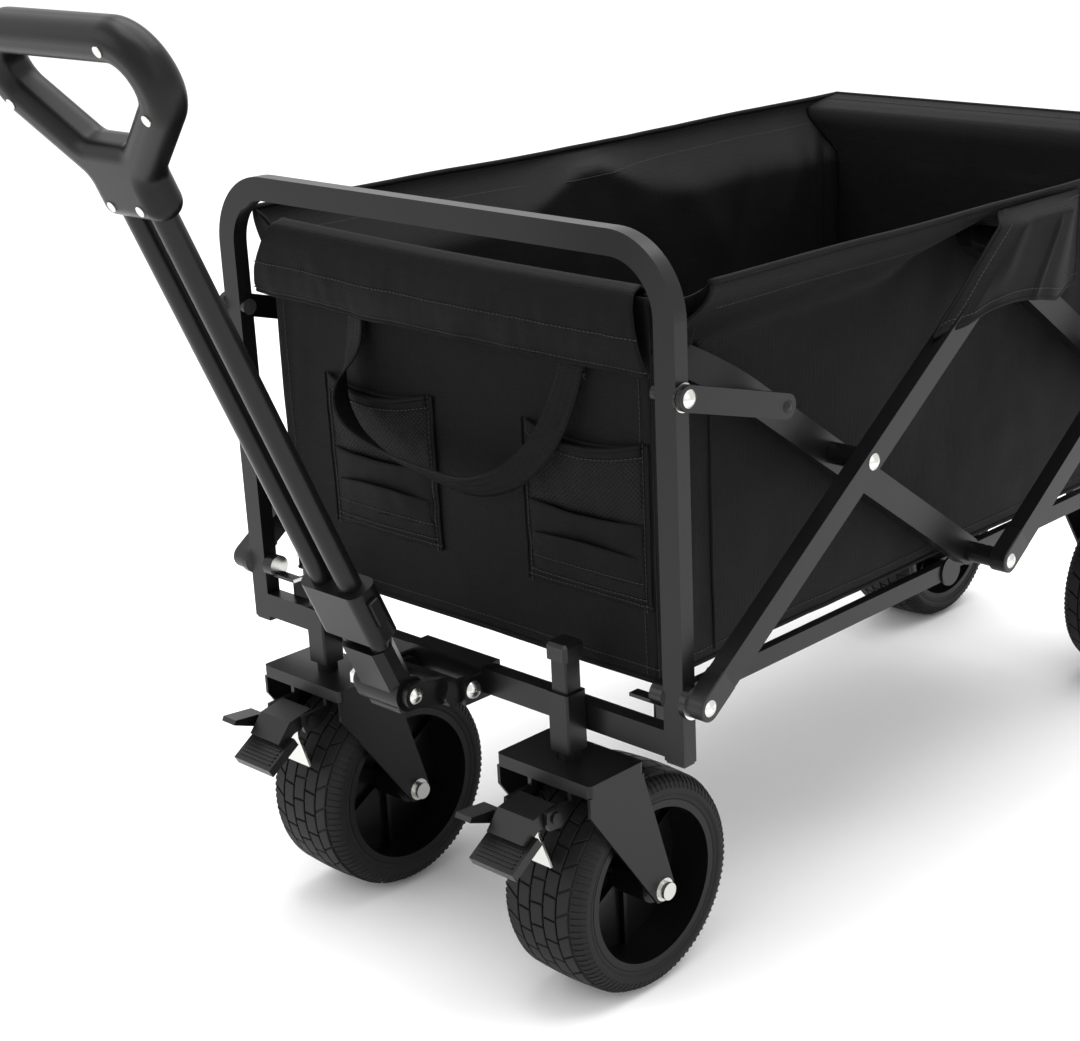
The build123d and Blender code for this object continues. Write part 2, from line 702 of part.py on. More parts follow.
def brake_shoe(side):
    """Thin steel plate that swings against the tread."""
    y = -41.0
    outline = mirrored([(4.5, 179.7), (4.5, 166), (8, 160), (17, 142)])
    return brake_place(side) * prism_y(outline, y - 2, y)


def build_brakes():
    for side in FRAME_SIDES:
        parts["brake_housing_" + named(side)] = brake_housing(side)
        parts["brake_pedal_" + named(side)] = brake_pedal(side) + brake_tab(side)
        parts["brake_shoe_" + named(side)] = brake_shoe(side)


# ---------------------------------------------------------------- handle
TILTED = Pos(0, HANDLE_PIVOT_Y, HANDLE_PIVOT_Z) * Rot(HANDLE_TILT, 0, 0)
TOW_HALF = TOW_MOUNT_WIDTH / 2
TOW_EAR = 4.0
TOW_ARM_OUT = TOW_HALF - TOW_EAR - 0.5


def tow_bolt():
    """Bolt through the tow channel's ears."""
    bolt = rod(-TOW_HALF - 4, TOW_HALF + 0.2, TOW_PIVOT_Y, TOW_PIVOT_Z, PIVOT_RADIUS)
    bolt += rivet(1, TOW_HALF, (TOW_PIVOT_Y, TOW_PIVOT_Z), 8, 5)
    return bolt + rod(-TOW_HALF - 6, -TOW_HALF, TOW_PIVOT_Y, TOW_PIVOT_Z, 8)


def build_tow():
    """Channel on the crossbar with two ears, and the bracket that swings in it."""
    low, high = CROSSBAR_Z - 3, CROSSBAR_Z + CROSSBAR_HEIGHT + 3
    sleeve = box((-TOW_HALF, TOW_HALF), (-4, FRAME_TUBE_Y + 3), (low, high))
    sleeve -= box(
        (-TOW_HALF - 1, TOW_HALF + 1),
        (0, FRAME_TUBE_Y),
        (CROSSBAR_Z, CROSSBAR_Z + CROSSBAR_HEIGHT),
    )
    for side in FRAME_SIDES:
        x = sorted((side * TOW_HALF, side * (TOW_HALF - TOW_EAR)))
        sleeve += box(x, (TOW_PIVOT_Y - 10, -3.5), (TOW_PIVOT_Z - 11, TOW_PIVOT_Z + 11))
    parts["tow_mount"] = sleeve - rod(-60, 60, TOW_PIVOT_Y, TOW_PIVOT_Z, PIVOT_RADIUS)

    yoke_side = YOKE_HALF_WIDTH + 0.5
    bracket = box((-TOW_ARM_OUT, TOW_ARM_OUT), (TOW_PIVOT_Y - 24, TOW_PIVOT_Y - 16), (241, 263))
    for side in FRAME_SIDES:
        x = sorted((side * TOW_ARM_OUT, side * (TOW_ARM_OUT - TOW_ARM_THICKNESS)))
        near = (TOW_PIVOT_Y, TOW_PIVOT_Z)
        bracket += bar(near, (TOW_PIVOT_Y - 18, TOW_PIVOT_Z + 1), 18, *x)
        x = sorted((side * yoke_side, side * (yoke_side + TOW_ARM_THICKNESS)))
        far = (HANDLE_PIVOT_Y, HANDLE_PIVOT_Z)
        bracket += bar((TOW_PIVOT_Y - 20, TOW_PIVOT_Z + 3), far, 22, *x)
    bracket -= rod(-60, 60, TOW_PIVOT_Y, TOW_PIVOT_Z, BORE)
    parts["tow_bracket"] = bracket - rod(-60, 60, HANDLE_PIVOT_Y, HANDLE_PIVOT_Z, PIVOT_RADIUS)
    outer = yoke_side + TOW_ARM_THICKNESS
    pivot = rod(-outer - 5, outer + 0.2, HANDLE_PIVOT_Y, HANDLE_PIVOT_Z, PIVOT_RADIUS)
    pivot += rivet(1, outer, (HANDLE_PIVOT_Y, HANDLE_PIVOT_Z), 7, 3)
    nut = Pos(-outer - 4, HANDLE_PIVOT_Y, HANDLE_PIVOT_Z) * Rot(0, 90, 0)
    pivot += nut * extrude(RegularPolygon(8.5, 6), 4, both=True)
    parts["handle_pivot_bolt"] = pivot


def tube_pair(radius, wall, low, high):
    """Two parallel round tubes along the handle."""
    made = []
    for side in FRAME_SIDES:
        place = Pos(side * HANDLE_TUBE_SPACING / 2, 0, (low + high) / 2)
        made.append(place * (Cylinder(radius, high - low) - Cylinder(radius - wall, high - low)))
    return TILTED * gather(*made)


def grip_faces():
    """Flat outline of the grip, a neck with a rounded ring, and of the ring's hole."""
    half_ring = [
        (GRIP_NECK, GRIP_RING_LOW),
        (GRIP_HALF_WIDTH, GRIP_SHOULDER),
        (GRIP_TOP_HALF_WIDTH, GRIP_TOP),
    ]
    ring = make_face(Polyline(*mirrored(half_ring), close=True))
    ring = fillet([v for v in ring.vertices() if v.Y > GRIP_RING_LOW + 1], GRIP_CORNER)
    hole = offset(ring, -GRIP_BAR)
    low = [v for v in hole.vertices() if v.Y < GRIP_RING_LOW + GRIP_BAR + 1]
    hole = fillet(low, GRIP_CORNER - GRIP_BAR)
    neck_height = GRIP_RING_LOW - GRIP_BOTTOM + 1
    neck = Pos(0, GRIP_BOTTOM + neck_height / 2) * Rectangle(2 * GRIP_NECK, neck_height)
    outline = ring + neck
    corners = [v for v in outline.vertices() if v.Y < GRIP_RING_LOW + 1]
    return fillet(corners, GRIP_NECK_ROUND), hole


def build_handle():
    length = YOKE_TOP + 14
    yoke = Pos(0, 0, YOKE_TOP - length / 2) * Box(2 * YOKE_HALF_WIDTH, 24, length)
    yoke = chamfer(yoke.edges().filter_by(Axis.Z), 7)
    yoke += rod(-YOKE_HALF_WIDTH, YOKE_HALF_WIDTH, 0, 0, 15)
    yoke -= rod(-60, 60, 0, 0, BORE)
    inner_top = GRIP_BOTTOM - 20
    socket = 18.0
    for side in FRAME_SIDES:
        x = side * HANDLE_TUBE_SPACING / 2
        yoke -= Pos(x, 0, socket + 40) * Cylinder(HANDLE_INNER_RADIUS, 80)
    parts["handle_yoke"] = TILTED * yoke
    parts["handle_inner_tubes"] = tube_pair(HANDLE_INNER_RADIUS, HANDLE_WALL, socket, inner_top)

    outer_low = COLLAR_BOTTOM + 8
    outer_top = GRIP_BOTTOM + 48
    parts["handle_outer_tubes"] = tube_pair(HANDLE_OUTER_RADIUS, HANDLE_WALL, outer_low, outer_top)
    middle = (COLLAR_BOTTOM + COLLAR_TOP) / 2
    collar = Pos(0, 0, middle) * Box(70, 28, COLLAR_TOP - COLLAR_BOTTOM)
    collar = fillet(collar.edges().filter_by(Axis.Z), 10)
    for side in FRAME_SIDES:
        x = side * HANDLE_TUBE_SPACING / 2
        collar -= Pos(x, 0, middle) * Cylinder(HANDLE_INNER_RADIUS + RUNNING, 80)
        collar -= Pos(x, 0, outer_low + 40) * Cylinder(HANDLE_OUTER_RADIUS, 80)
        pocket = Pos(side * 34, 0, middle + 4) * Box(12, 10.6, 24.6)
        collar -= pocket
    parts["handle_collar"] = TILTED * collar
    for side in FRAME_SIDES:
        button = Pos(side * 35, 0, middle + 4) * Box(8, 10, 24)
        parts["release_button_" + named(side)] = TILTED * chamfer(button.edges(), 1)

    half = GRIP_THICKNESS / 2
    outline, hole = grip_faces()
    for name, y0, y1 in (("grip_front_shell", -half, 0), ("grip_rear_shell", 0, half)):
        shell = Pos(0, y0, 0) * extrude(Plane.XZ * outline, y1 - y0, dir=(0, 1, 0))
        outer_face = shell.faces().sort_by(Axis.Y)[0 if y0 < 0 else -1]
        shell = fillet(outer_face.edges(), GRIP_OUTER_ROUND)
        shell -= Pos(0, y0, 0) * extrude(Plane.XZ * hole, y1 - y0, dir=(0, 1, 0))
        rims = shell.faces().sort_by(Axis.Y)[0 if y0 < 0 else -1].inner_wires()[0].edges()
        shell = fillet(rims, GRIP_INNER_ROUND)
        for side in FRAME_SIDES:
            x = side * HANDLE_TUBE_SPACING / 2
            shell -= Pos(x, 0, outer_top - 60) * Cylinder(HANDLE_OUTER_RADIUS, 120)
        parts[name] = TILTED * shell
    screws = []
    for x, height in SCREWS:
        for side in FRAME_SIDES:
            place = Pos(side * x, -half + 0.4, height) * Rot(90, 0, 0)
            screws.append(TILTED * place * Cylinder(SCREW_RADIUS, SCREW_DEPTH))
    for screw in screws:
        parts["grip_front_shell"] -= screw
    parts["grip_screws"] = gather(*screws)


# ---------------------------------------------------------------- cloth basket
def build_basket():
    inside = WALL_X - CLOTH
    back_y = REAR - FRONT - SOFT_GAP
    front_wall = box((-WALL_X, WALL_X), (WALL_Y, WALL_Y + CLOTH), (FLOOR_Z, RIM_Z - 6))
    flap_x = HALF - FRAME_TUBE_X - SOFT_GAP
    flap = prism_x(
        [
            (WALL_Y, RIM_Z - 6),
            (WALL_Y - 9, RIM_Z - 8),
            (WALL_Y - 14, RIM_Z - 24),
            (WALL_Y - 12, RIM_Z - 60),
            (WALL_Y - 9, RIM_Z - 60),
            (WALL_Y, RIM_Z - 34),
        ],
        -flap_x,
        flap_x,
    )
    corner = RIM_Z - 22
    flap_outline = [(flap_x, corner - 50), (flap_x, corner), (flap_x - 8, RIM_Z - 4)]
    flap &= prism_y(mirrored(flap_outline), 0, WALL_Y + CLOTH)
    parts["front_wall"] = front_wall + flap
    lip_y = back_y + REAR_LIP
    lip = prism_x(
        [
            (back_y - CLOTH, RIM_Z - CLOTH),
            (lip_y, RIM_Z - CLOTH),
            (lip_y, RIM_Z),
            (back_y - CLOTH, RIM_Z),
        ],
        -RIM_HALF_WIDTH,
        RIM_HALF_WIDTH,
    )
    rear_sheet = box((-WALL_X, WALL_X), (back_y - CLOTH, back_y), (FLOOR_Z, RIM_Z))
    parts["rear_wall"] = rear_sheet + lip
    y0, y1 = WALL_Y + CLOTH + 0.5, back_y - CLOTH - 0.5
    top = FLOOR_Z + FLOOR_THICKNESS
    reach = along(CROSS_FRONT, 180 - ARM_ANGLE, INNER_ARM_REACH - 30)
    notch = box(
        (-RIM_HALF_WIDTH, RIM_HALF_WIDTH),
        (y0 - 1, reach[0] + 40),
        (reach[1] - 32, FLARE_Z - 12),
    )
    parts["basket_floor"] = box((-inside, inside), (y0, y1), (FLOOR_Z, top))
    for side in FRAME_SIDES:
        outline = [
            (side * WALL_X, FLOOR_Z),
            (side * WALL_X, FLARE_Z),
            (side * RIM_HALF_WIDTH, RIM_Z - 16),
            (side * (RIM_HALF_WIDTH + CLOTH), RIM_Z - 16),
            (side * (RIM_HALF_WIDTH + CLOTH), RIM_Z),
            (side * RIM_HALF_WIDTH, RIM_Z),
            (side * inside, FLARE_Z + CLOTH + 8),
            (side * inside, FLOOR_Z),
        ]
        parts["side_wall_" + named(side)] = prism_y(outline, y0, y1) - notch


def build_front_details():
    """Two pockets and the hanging webbing handle on the front wall."""
    z = (FLOOR_Z + 68, FLOOR_Z + 190)
    pockets = [box(x, (WALL_Y - 5, WALL_Y), z) for x in ((-148, -20), (88, 204))]
    parts["front_pockets"] = gather(*pockets)
    strap = [(-112, 528), (-112, 480), (-60, 420), (60, 420), (132, 480), (132, 528)]
    line = FilletPolyline(*strap, radius=34)
    face = Plane.XZ * trace(line, 22)
    parts["carry_strap"] = Pos(0, WALL_Y - 8.3, 0) * extrude(face, 2.5, dir=(0, 1, 0))


# ---------------------------------------------------------------- whole model
def build_all():
    build_front_frame()
    build_rear_frame()
    build_outer_front()
    build_inner_front()
    build_outer_rear()
    build_inner_rear()
    build_links()
    build_rails()
    build_wheels()
    build_brakes()
    build_tow()
    build_handle()
    build_basket()
    build_front_details()


build_all()
overall = gather(*parts.values()).bounding_box()
CENTRE_Y = (overall.min.Y + overall.max.Y) / 2
os.makedirs("parts", exist_ok=True)
for name, part in parts.items():
    solids = [solid.moved(Location((0, -CENTRE_Y, 0))) for solid in part.solids()]
    export_step(solids[0] if len(solids) == 1 else Compound(children=solids), f"parts/{name}.step")
print(len(parts), "nodes, centre y", round(CENTRE_Y, 3), overall)
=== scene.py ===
"""Folding camp wagon: the cloth, tyres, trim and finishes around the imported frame."""

import json
import math

import bmesh
import bpy
import numpy as np
from mathutils import Matrix, Vector, noise


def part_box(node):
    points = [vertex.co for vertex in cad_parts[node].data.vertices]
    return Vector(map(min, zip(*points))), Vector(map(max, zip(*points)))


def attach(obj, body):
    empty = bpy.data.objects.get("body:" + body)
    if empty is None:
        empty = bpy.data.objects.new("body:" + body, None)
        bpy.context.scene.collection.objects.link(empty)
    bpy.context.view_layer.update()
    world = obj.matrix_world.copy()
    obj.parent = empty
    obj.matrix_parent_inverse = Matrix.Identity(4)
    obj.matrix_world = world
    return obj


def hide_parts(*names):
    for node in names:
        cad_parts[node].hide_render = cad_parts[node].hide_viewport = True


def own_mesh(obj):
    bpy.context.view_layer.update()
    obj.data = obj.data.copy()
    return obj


bl_info = {
    "name": "Folding camp wagon",
    "version": (1, 0, 0),
    "blender": (4, 5, 0),
    "location": "View3D > Sidebar > Wagon",
    "description": "Builds a folding camp wagon's cloth, tyres, trim and finishes",
    "category": "Object",
}

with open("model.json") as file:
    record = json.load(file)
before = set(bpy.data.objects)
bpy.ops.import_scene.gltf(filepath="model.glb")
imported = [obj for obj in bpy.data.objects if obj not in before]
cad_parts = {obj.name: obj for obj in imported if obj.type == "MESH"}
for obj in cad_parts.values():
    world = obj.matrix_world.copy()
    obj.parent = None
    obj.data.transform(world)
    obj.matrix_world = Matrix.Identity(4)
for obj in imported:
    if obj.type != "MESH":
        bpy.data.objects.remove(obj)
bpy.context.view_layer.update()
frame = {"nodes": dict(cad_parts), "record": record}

MM = 0.001
SIDES = (("left", -1), ("right", 1))
FRONT_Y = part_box("front_frame")[0].y
FLOOR_LOW, FLOOR_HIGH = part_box("basket_floor")
RIM_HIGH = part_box("side_wall_right")[1]


def deep(y):
    """Distance behind the front frame's front face, in millimetres."""
    return (y - FRONT_Y) / MM


BASE_Z = FLOOR_LOW.z / MM
RIM_Z = RIM_HIGH.z / MM
RIM_X = RIM_HIGH.x / MM
WALL_GAP = 2.5
WALL_X = FLOOR_HIGH.x / MM + WALL_GAP
WALL_Y = deep(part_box("front_pockets")[1].y)
BACK_Y = deep(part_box("rear_frame")[0].y)


def at(x, y, z):
    """Point in the part's frame from millimetres across, behind the front face and above ground."""
    return Vector((x * MM, FRONT_Y + y * MM, z * MM))


# ---------------------------------------------------------------- colours and sizes
def srgb(text):
    """Linear red, green and blue of an sRGB hex colour."""
    channels = [int(text[i : i + 2], 16) / 255 for i in (1, 3, 5)]
    return tuple(c / 12.92 if c <= 0.04045 else ((c + 0.055) / 1.055) ** 2.4 for c in channels)


class WagonCloth(bpy.types.PropertyGroup):
    """Sizes and colours of the cloth basket."""

    colour: bpy.props.FloatVectorProperty(
        name="Canvas colour", description="Base colour of the woven polyester",
        subtype="COLOR", size=3, min=0, max=1, default=srgb("#0c0c0d"),
    )
    thread: bpy.props.FloatVectorProperty(
        name="Thread colour", description="Colour of the sewing thread",
        subtype="COLOR", size=3, min=0, max=1, default=srgb("#050505"),
    )
    thickness: bpy.props.FloatProperty(
        name="Canvas thickness", description="Thickness of the sewn walls",
        subtype="DISTANCE", unit="LENGTH", default=0.0016, min=0.0005, max=0.004,
    )
    ripple: bpy.props.FloatProperty(
        name="Ripple", description="How far the walls swell in and out",
        subtype="DISTANCE", unit="LENGTH", default=0.003, min=0.0, max=0.008,
    )
    stitch: bpy.props.FloatProperty(
        name="Stitch pitch", description="Length of one stitch and its gap",
        subtype="DISTANCE", unit="LENGTH", default=0.0042, min=0.002, max=0.01,
    )


class WagonWheels(bpy.types.PropertyGroup):
    """Sizes and colours of the tyres."""

    rubber: bpy.props.FloatVectorProperty(
        name="Rubber colour", description="Base colour of the tyres",
        subtype="COLOR", size=3, min=0, max=1, default=srgb("#111112"),
    )
    rows: bpy.props.IntProperty(
        name="Tread rows", description="Rows of tread blocks round each tyre",
        default=29, min=12, max=60,
    )
    groove: bpy.props.FloatProperty(
        name="Groove width", description="Gap between two tread blocks",
        subtype="DISTANCE", unit="LENGTH", default=0.0017, min=0.0005, max=0.004,
    )
    notches: bpy.props.IntProperty(
        name="Shoulder ribs", description="Short ribs round each shoulder",
        default=96, min=24, max=160,
    )


class WagonFinish(bpy.types.PropertyGroup):
    """Colours of the frame, plastic and bolts."""

    steel: bpy.props.FloatVectorProperty(
        name="Frame colour", description="Powder coat on the steel tubes",
        subtype="COLOR", size=3, min=0, max=1, default=srgb("#0b0b0c"),
    )
    plastic: bpy.props.FloatVectorProperty(
        name="Plastic colour", description="Moulded grips, caps and brakes",
        subtype="COLOR", size=3, min=0, max=1, default=srgb("#090909"),
    )
    bolts: bpy.props.FloatVectorProperty(
        name="Bolt colour", description="Zinc plating on rivets and bolts",
        subtype="COLOR", size=3, min=0, max=1, default=srgb("#c8c8c4"),
    )


class WagonStage(bpy.types.PropertyGroup):
    """Floor and light."""

    floor: bpy.props.FloatVectorProperty(
        name="Floor colour", description="Plain pale floor",
        subtype="COLOR", size=3, min=0, max=1, default=srgb("#f6f6f6"),
    )
    key: bpy.props.FloatProperty(
        name="Key light", description="Power of the large soft light overhead",
        default=125.0, min=0.0, max=1000.0,
    )
    sky: bpy.props.FloatProperty(
        name="Fill", description="Brightness of the even light all round",
        default=1.2, min=0.0, max=4.0,
    )


def settings(group):
    """One of this scene's setting groups."""
    return getattr(bpy.context.scene, "wagon_" + group)


# ---------------------------------------------------------------- materials
def add(tree, kind, fields=None, values=None, links=None):
    """Adds a node with its settings, input values and incoming links."""
    made = tree.nodes.new(kind)
    for name, value in (fields or {}).items():
        setattr(made, name, value)
    for name, value in (values or {}).items():
        made.inputs[name].default_value = value
    for name, socket in (links or {}).items():
        tree.links.new(socket, made.inputs[name])
    return made


def new_material(name):
    """Empty material and its node tree."""
    material = bpy.data.materials.new(name)
    material.use_nodes = True
    material.node_tree.nodes.clear()
    return material, material.node_tree


def tinted(tree, colour, factor, spread):
    """Colour that drifts a little darker and lighter with a factor."""
    dark = [c * (1 - spread) for c in colour] + [1]
    light = [min(1, c * (1 + spread)) for c in colour] + [1]
    ramp = add(tree, "ShaderNodeMix", {"data_type": "RGBA"}, links={"Factor": factor})
    ramp.inputs[6].default_value = dark
    ramp.inputs[7].default_value = light
    return ramp.outputs[2]


def bumped(tree, height, strength, depth):
    """Normal raised by a height, in metres."""
    bump = add(
        tree, "ShaderNodeBump", values={"Strength": strength, "Distance": depth}, links={"Height": height}
    )
    return bump.outputs["Normal"]


def surfaced(tree, values, links):
    """The one shader and output that end every material."""
    shader = add(tree, "ShaderNodeBsdfPrincipled", values=values, links=links)
    add(tree, "ShaderNodeOutputMaterial", links={"Surface": shader.outputs["BSDF"]})


def grain_material(name, colour, surface, size, depth, spread=0.12, wear=0.06, space="Object"):
    """A moulded, coated or rubber surface: fine grain of one real size, and slow drift."""
    material, tree = new_material(name)
    place = add(tree, "ShaderNodeTexCoord").outputs[space]
    grain = add(
        tree, "ShaderNodeTexNoise", values={"Scale": 1 / size, "Detail": 2.0}, links={"Vector": place}
    )
    cloud = add(tree, "ShaderNodeTexNoise", values={"Scale": 9.0, "Detail": 3.0}, links={"Vector": place})
    rough = add(
        tree, "ShaderNodeMapRange",
        values={"To Min": surface["Roughness"] - wear, "To Max": surface["Roughness"] + wear},
        links={"Value": cloud.outputs["Fac"]},
    )
    surfaced(
        tree, surface,
        {
            "Base Color": tinted(tree, colour, cloud.outputs["Fac"], spread),
            "Roughness": rough.outputs["Result"],
            "Normal": bumped(tree, grain.outputs["Fac"], 0.6, depth),
        },
    )
    return material


def woven_material(name, colour, pitch, depth, ribs=(1.0, 1.0), spread=0.22, rough=0.62):
    """Plain weave on the piece's own map, with slubs along both thread directions.
    Real threads are about 0.4 mm apart, too fine to show, so they are drawn coarser."""
    material, tree = new_material(name)
    place = add(tree, "ShaderNodeTexCoord").outputs["UV"]
    heights = []
    slubs = []
    for axis, rib in zip("XY", ribs):
        wave = add(
            tree, "ShaderNodeTexWave", {"bands_direction": axis},
            {"Scale": 0.314 / pitch * rib, "Distortion": 0.6, "Detail": 1.0, "Detail Scale": 2.0},
            {"Vector": place},
        )
        heights.append(wave.outputs["Fac"])
        stretch = (40.0, 900.0, 1.0) if axis == "X" else (900.0, 40.0, 1.0)
        long = add(tree, "ShaderNodeMapping", values={"Scale": stretch}, links={"Vector": place})
        slub = add(
            tree, "ShaderNodeTexNoise", values={"Scale": 1.0, "Detail": 2.0},
            links={"Vector": long.outputs["Vector"]},
        )
        slubs.append(slub.outputs["Fac"])
    weave = add(tree, "ShaderNodeMath", {"operation": "MULTIPLY"}, links={0: heights[0], 1: heights[1]})
    slub = add(tree, "ShaderNodeMath", {"operation": "ADD"}, links={0: slubs[0], 1: slubs[1]})
    half = add(tree, "ShaderNodeMath", {"operation": "MULTIPLY"}, {1: 0.5}, {0: slub.outputs[0]})
    height = add(
        tree, "ShaderNodeMath", {"operation": "MULTIPLY_ADD"}, {1: 0.35},
        {0: weave.outputs[0], 2: half.outputs[0]},
    )
    cloud = add(tree, "ShaderNodeTexNoise", values={"Scale": 6.0, "Detail": 3.0}, links={"Vector": place})
    both = add(
        tree, "ShaderNodeMath", {"operation": "MULTIPLY_ADD"}, {1: 0.5},
        {0: cloud.outputs["Fac"], 2: half.outputs[0]},
    )
    shade = add(
        tree, "ShaderNodeMapRange", values={"From Min": 0.45, "From Max": 1.05},
        links={"Value": both.outputs[0]},
    )
    surfaced(
        tree,
        {"Roughness": rough, "Sheen Weight": 0.004, "Sheen Roughness": 0.4, "Specular IOR Level": 0.08},
        {
            "Base Color": tinted(tree, colour, shade.outputs["Result"], spread),
            "Normal": bumped(tree, height.outputs[0], 0.5, depth),
        },
    )
    return material


def net_material(name, colour):
    """Knitted polyester net: diagonal cords 3 mm apart, with the holes between them darkened as painted
    shade.
    """
    material, tree = new_material(name)
    place = add(tree, "ShaderNodeTexCoord").outputs["UV"]
    turned = add(
        tree, "ShaderNodeMapping",
        values={"Rotation": (0, 0, math.radians(45)), "Scale": (333.0, 333.0, 1.0)},
        links={"Vector": place},
    )
    cells = add(
        tree, "ShaderNodeTexVoronoi", {"feature": "F1", "distance": "CHEBYCHEV"},
        {"Scale": 1.0, "Randomness": 0.0}, {"Vector": turned.outputs["Vector"]},
    )
    cord = add(
        tree, "ShaderNodeMapRange", values={"From Min": 0.22, "From Max": 0.4},
        links={"Value": cells.outputs["Distance"]},
    )
    surfaced(
        tree, {"Roughness": 0.6, "Specular IOR Level": 0.12},
        {
            # painted shade: the holes are made much darker than the cords, standing in for the shaded
            # pocket seen through them
            "Base Color": tinted(tree, colour, cord.outputs["Result"], 0.75),
            "Normal": bumped(tree, cord.outputs["Result"], 1.0, 0.0009),
        },
    )
    return material


def pivot_material(name, bright, dark):
    """Riveted pivot: plated domes on the ends, which face sideways, and blackened shanks between."""
    material, tree = new_material(name)
    place = add(tree, "ShaderNodeTexCoord")
    facing = add(tree, "ShaderNodeSeparateXYZ", links={"Vector": place.outputs["Normal"]})
    side = add(tree, "ShaderNodeMath", {"operation": "ABSOLUTE"}, links={0: facing.outputs["X"]})
    head = add(
        tree, "ShaderNodeMapRange", values={"From Min": 0.3, "From Max": 0.42},
        links={"Value": side.outputs[0]},
    )
    marks = add(
        tree, "ShaderNodeTexNoise", values={"Scale": 700.0}, links={"Vector": place.outputs["Object"]}
    )
    tint = add(tree, "ShaderNodeMix", {"data_type": "RGBA"}, links={"Factor": head.outputs["Result"]})
    tint.inputs[6].default_value = [*dark, 1]
    tint.inputs[7].default_value = [*bright, 1]
    surfaced(
        tree, {"Roughness": 0.26, "Specular IOR Level": 0.3},
        {
            "Base Color": tint.outputs[2], "Metallic": head.outputs["Result"],
            "Normal": bumped(tree, marks.outputs["Fac"], 0.4, 0.00006),
        },
    )
    return material


LOOKS = {}


def make_looks():
    """Every finish on the wagon, by its own name."""
    cloth, wheels, finish = settings("cloth"), settings("wheels"), settings("finish")
    # Black polyester canvas, plain weave: matt, with a faint sheen and slubs both ways.
    LOOKS["canvas"] = woven_material("black_polyester_canvas", cloth.colour, 0.0018, 0.0011, spread=0.5)
    # Polypropylene webbing: heavier cross ribs, so the strap reads apart from the canvas.
    LOOKS["webbing"] = woven_material("ribbed_webbing", cloth.colour, 0.0026, 0.0026, (0.4, 1.2), 0.6, 0.5)
    # Knitted net over the pocket mouths: an open diamond texture, with painted shade darkening its holes.
    LOOKS["net"] = net_material("pocket_net", cloth.colour)
    # Bonded thread: a dull broken line along each seam.
    LOOKS["thread"] = grain_material("sewing_thread", cloth.thread, {"Roughness": 0.7}, 0.0008, 0.0001)
    # Satin powder coat on steel tube: a soft highlight with a trace of orange peel.
    LOOKS["frame_steel"] = grain_material(
        "black_powder_coated_steel", finish.steel,
        {"Roughness": 0.33, "Specular IOR Level": 0.24}, 0.0016, 0.00006,
    )
    LOOKS["handle_tube"] = LOOKS["frame_steel"]
    # Zinc plated steel, drawn and tumbled: bright, faintly uneven.
    LOOKS["zinc_steel"] = grain_material(
        "zinc_plated_steel", finish.bolts, {"Roughness": 0.26, "Metallic": 1.0}, 0.002, 0.00005
    )
    # Riveted pivots: bright domes, black spacers and shanks.
    LOOKS["pivot"] = pivot_material("plated_pivot_rivets", finish.bolts, finish.steel)
    # Moulded nylon with a spark-eroded texture: a broad soft shine on the grip, caps and wheels.
    plastic = finish.plastic
    LOOKS["grip_plastic"] = grain_material(
        "moulded_grip_nylon", plastic, {"Roughness": 0.34, "Specular IOR Level": 0.2}, 0.0009, 0.00008
    )
    LOOKS["cap_plastic"] = LOOKS["brake_plastic"] = grain_material(
        "moulded_black_nylon", plastic, {"Roughness": 0.36, "Specular IOR Level": 0.32}, 0.0012, 0.00008
    )
    LOOKS["wheel_plastic"] = grain_material(
        "moulded_wheel_plastic", plastic, {"Roughness": 0.34, "Specular IOR Level": 0.2}, 0.003, 0.00008
    )
    # Solid tyre compound: dusty matt black.
    LOOKS["tyre_rubber"] = grain_material(
        "tyre_rubber", wheels.rubber,
        {"Roughness": 0.6, "Specular IOR Level": 0.2}, 0.0014, 0.0001, 0.2, 0.08,
    )


# ---------------------------------------------------------------- mesh tools
def new_piece(name, points, faces, look, maps=None, smooth=True):
    """Object at the origin from points in the part's frame."""
    mesh = bpy.data.meshes.new(name)
    mesh.from_pydata([tuple(p) for p in points], [], faces)
    if maps is not None:
        layer = mesh.uv_layers.new(name="cloth")
        corners = [maps[v] for polygon in mesh.polygons for v in polygon.vertices]
        layer.data.foreach_set("uv", np.array(corners, np.float32).ravel())
    if smooth:
        mesh.shade_smooth()
    mesh.materials.append(look)
    mesh.update()
    piece = bpy.data.objects.new(name, mesh)
    bpy.context.scene.collection.objects.link(piece)
    return piece


def baked(piece, name=None):
    """The piece with its modifiers made plain mesh."""
    graph = bpy.context.evaluated_depsgraph_get()
    mesh = bpy.data.meshes.new_from_object(
        piece.evaluated_get(graph), preserve_all_data_layers=True, depsgraph=graph
    )
    made_name = name or piece.name
    bpy.data.objects.remove(piece)
    mesh.name = made_name
    made = bpy.data.objects.new(made_name, mesh)
    made.name = made_name
    bpy.context.scene.collection.objects.link(made)
    return made


def joined(pieces, name):
    """Several mesh objects as one."""
    with bpy.context.temp_override(
        active_object=pieces[0], object=pieces[0],
        selected_editable_objects=pieces, selected_objects=pieces,
    ):
        bpy.ops.object.join()
    pieces[0].name = name
    return pieces[0]


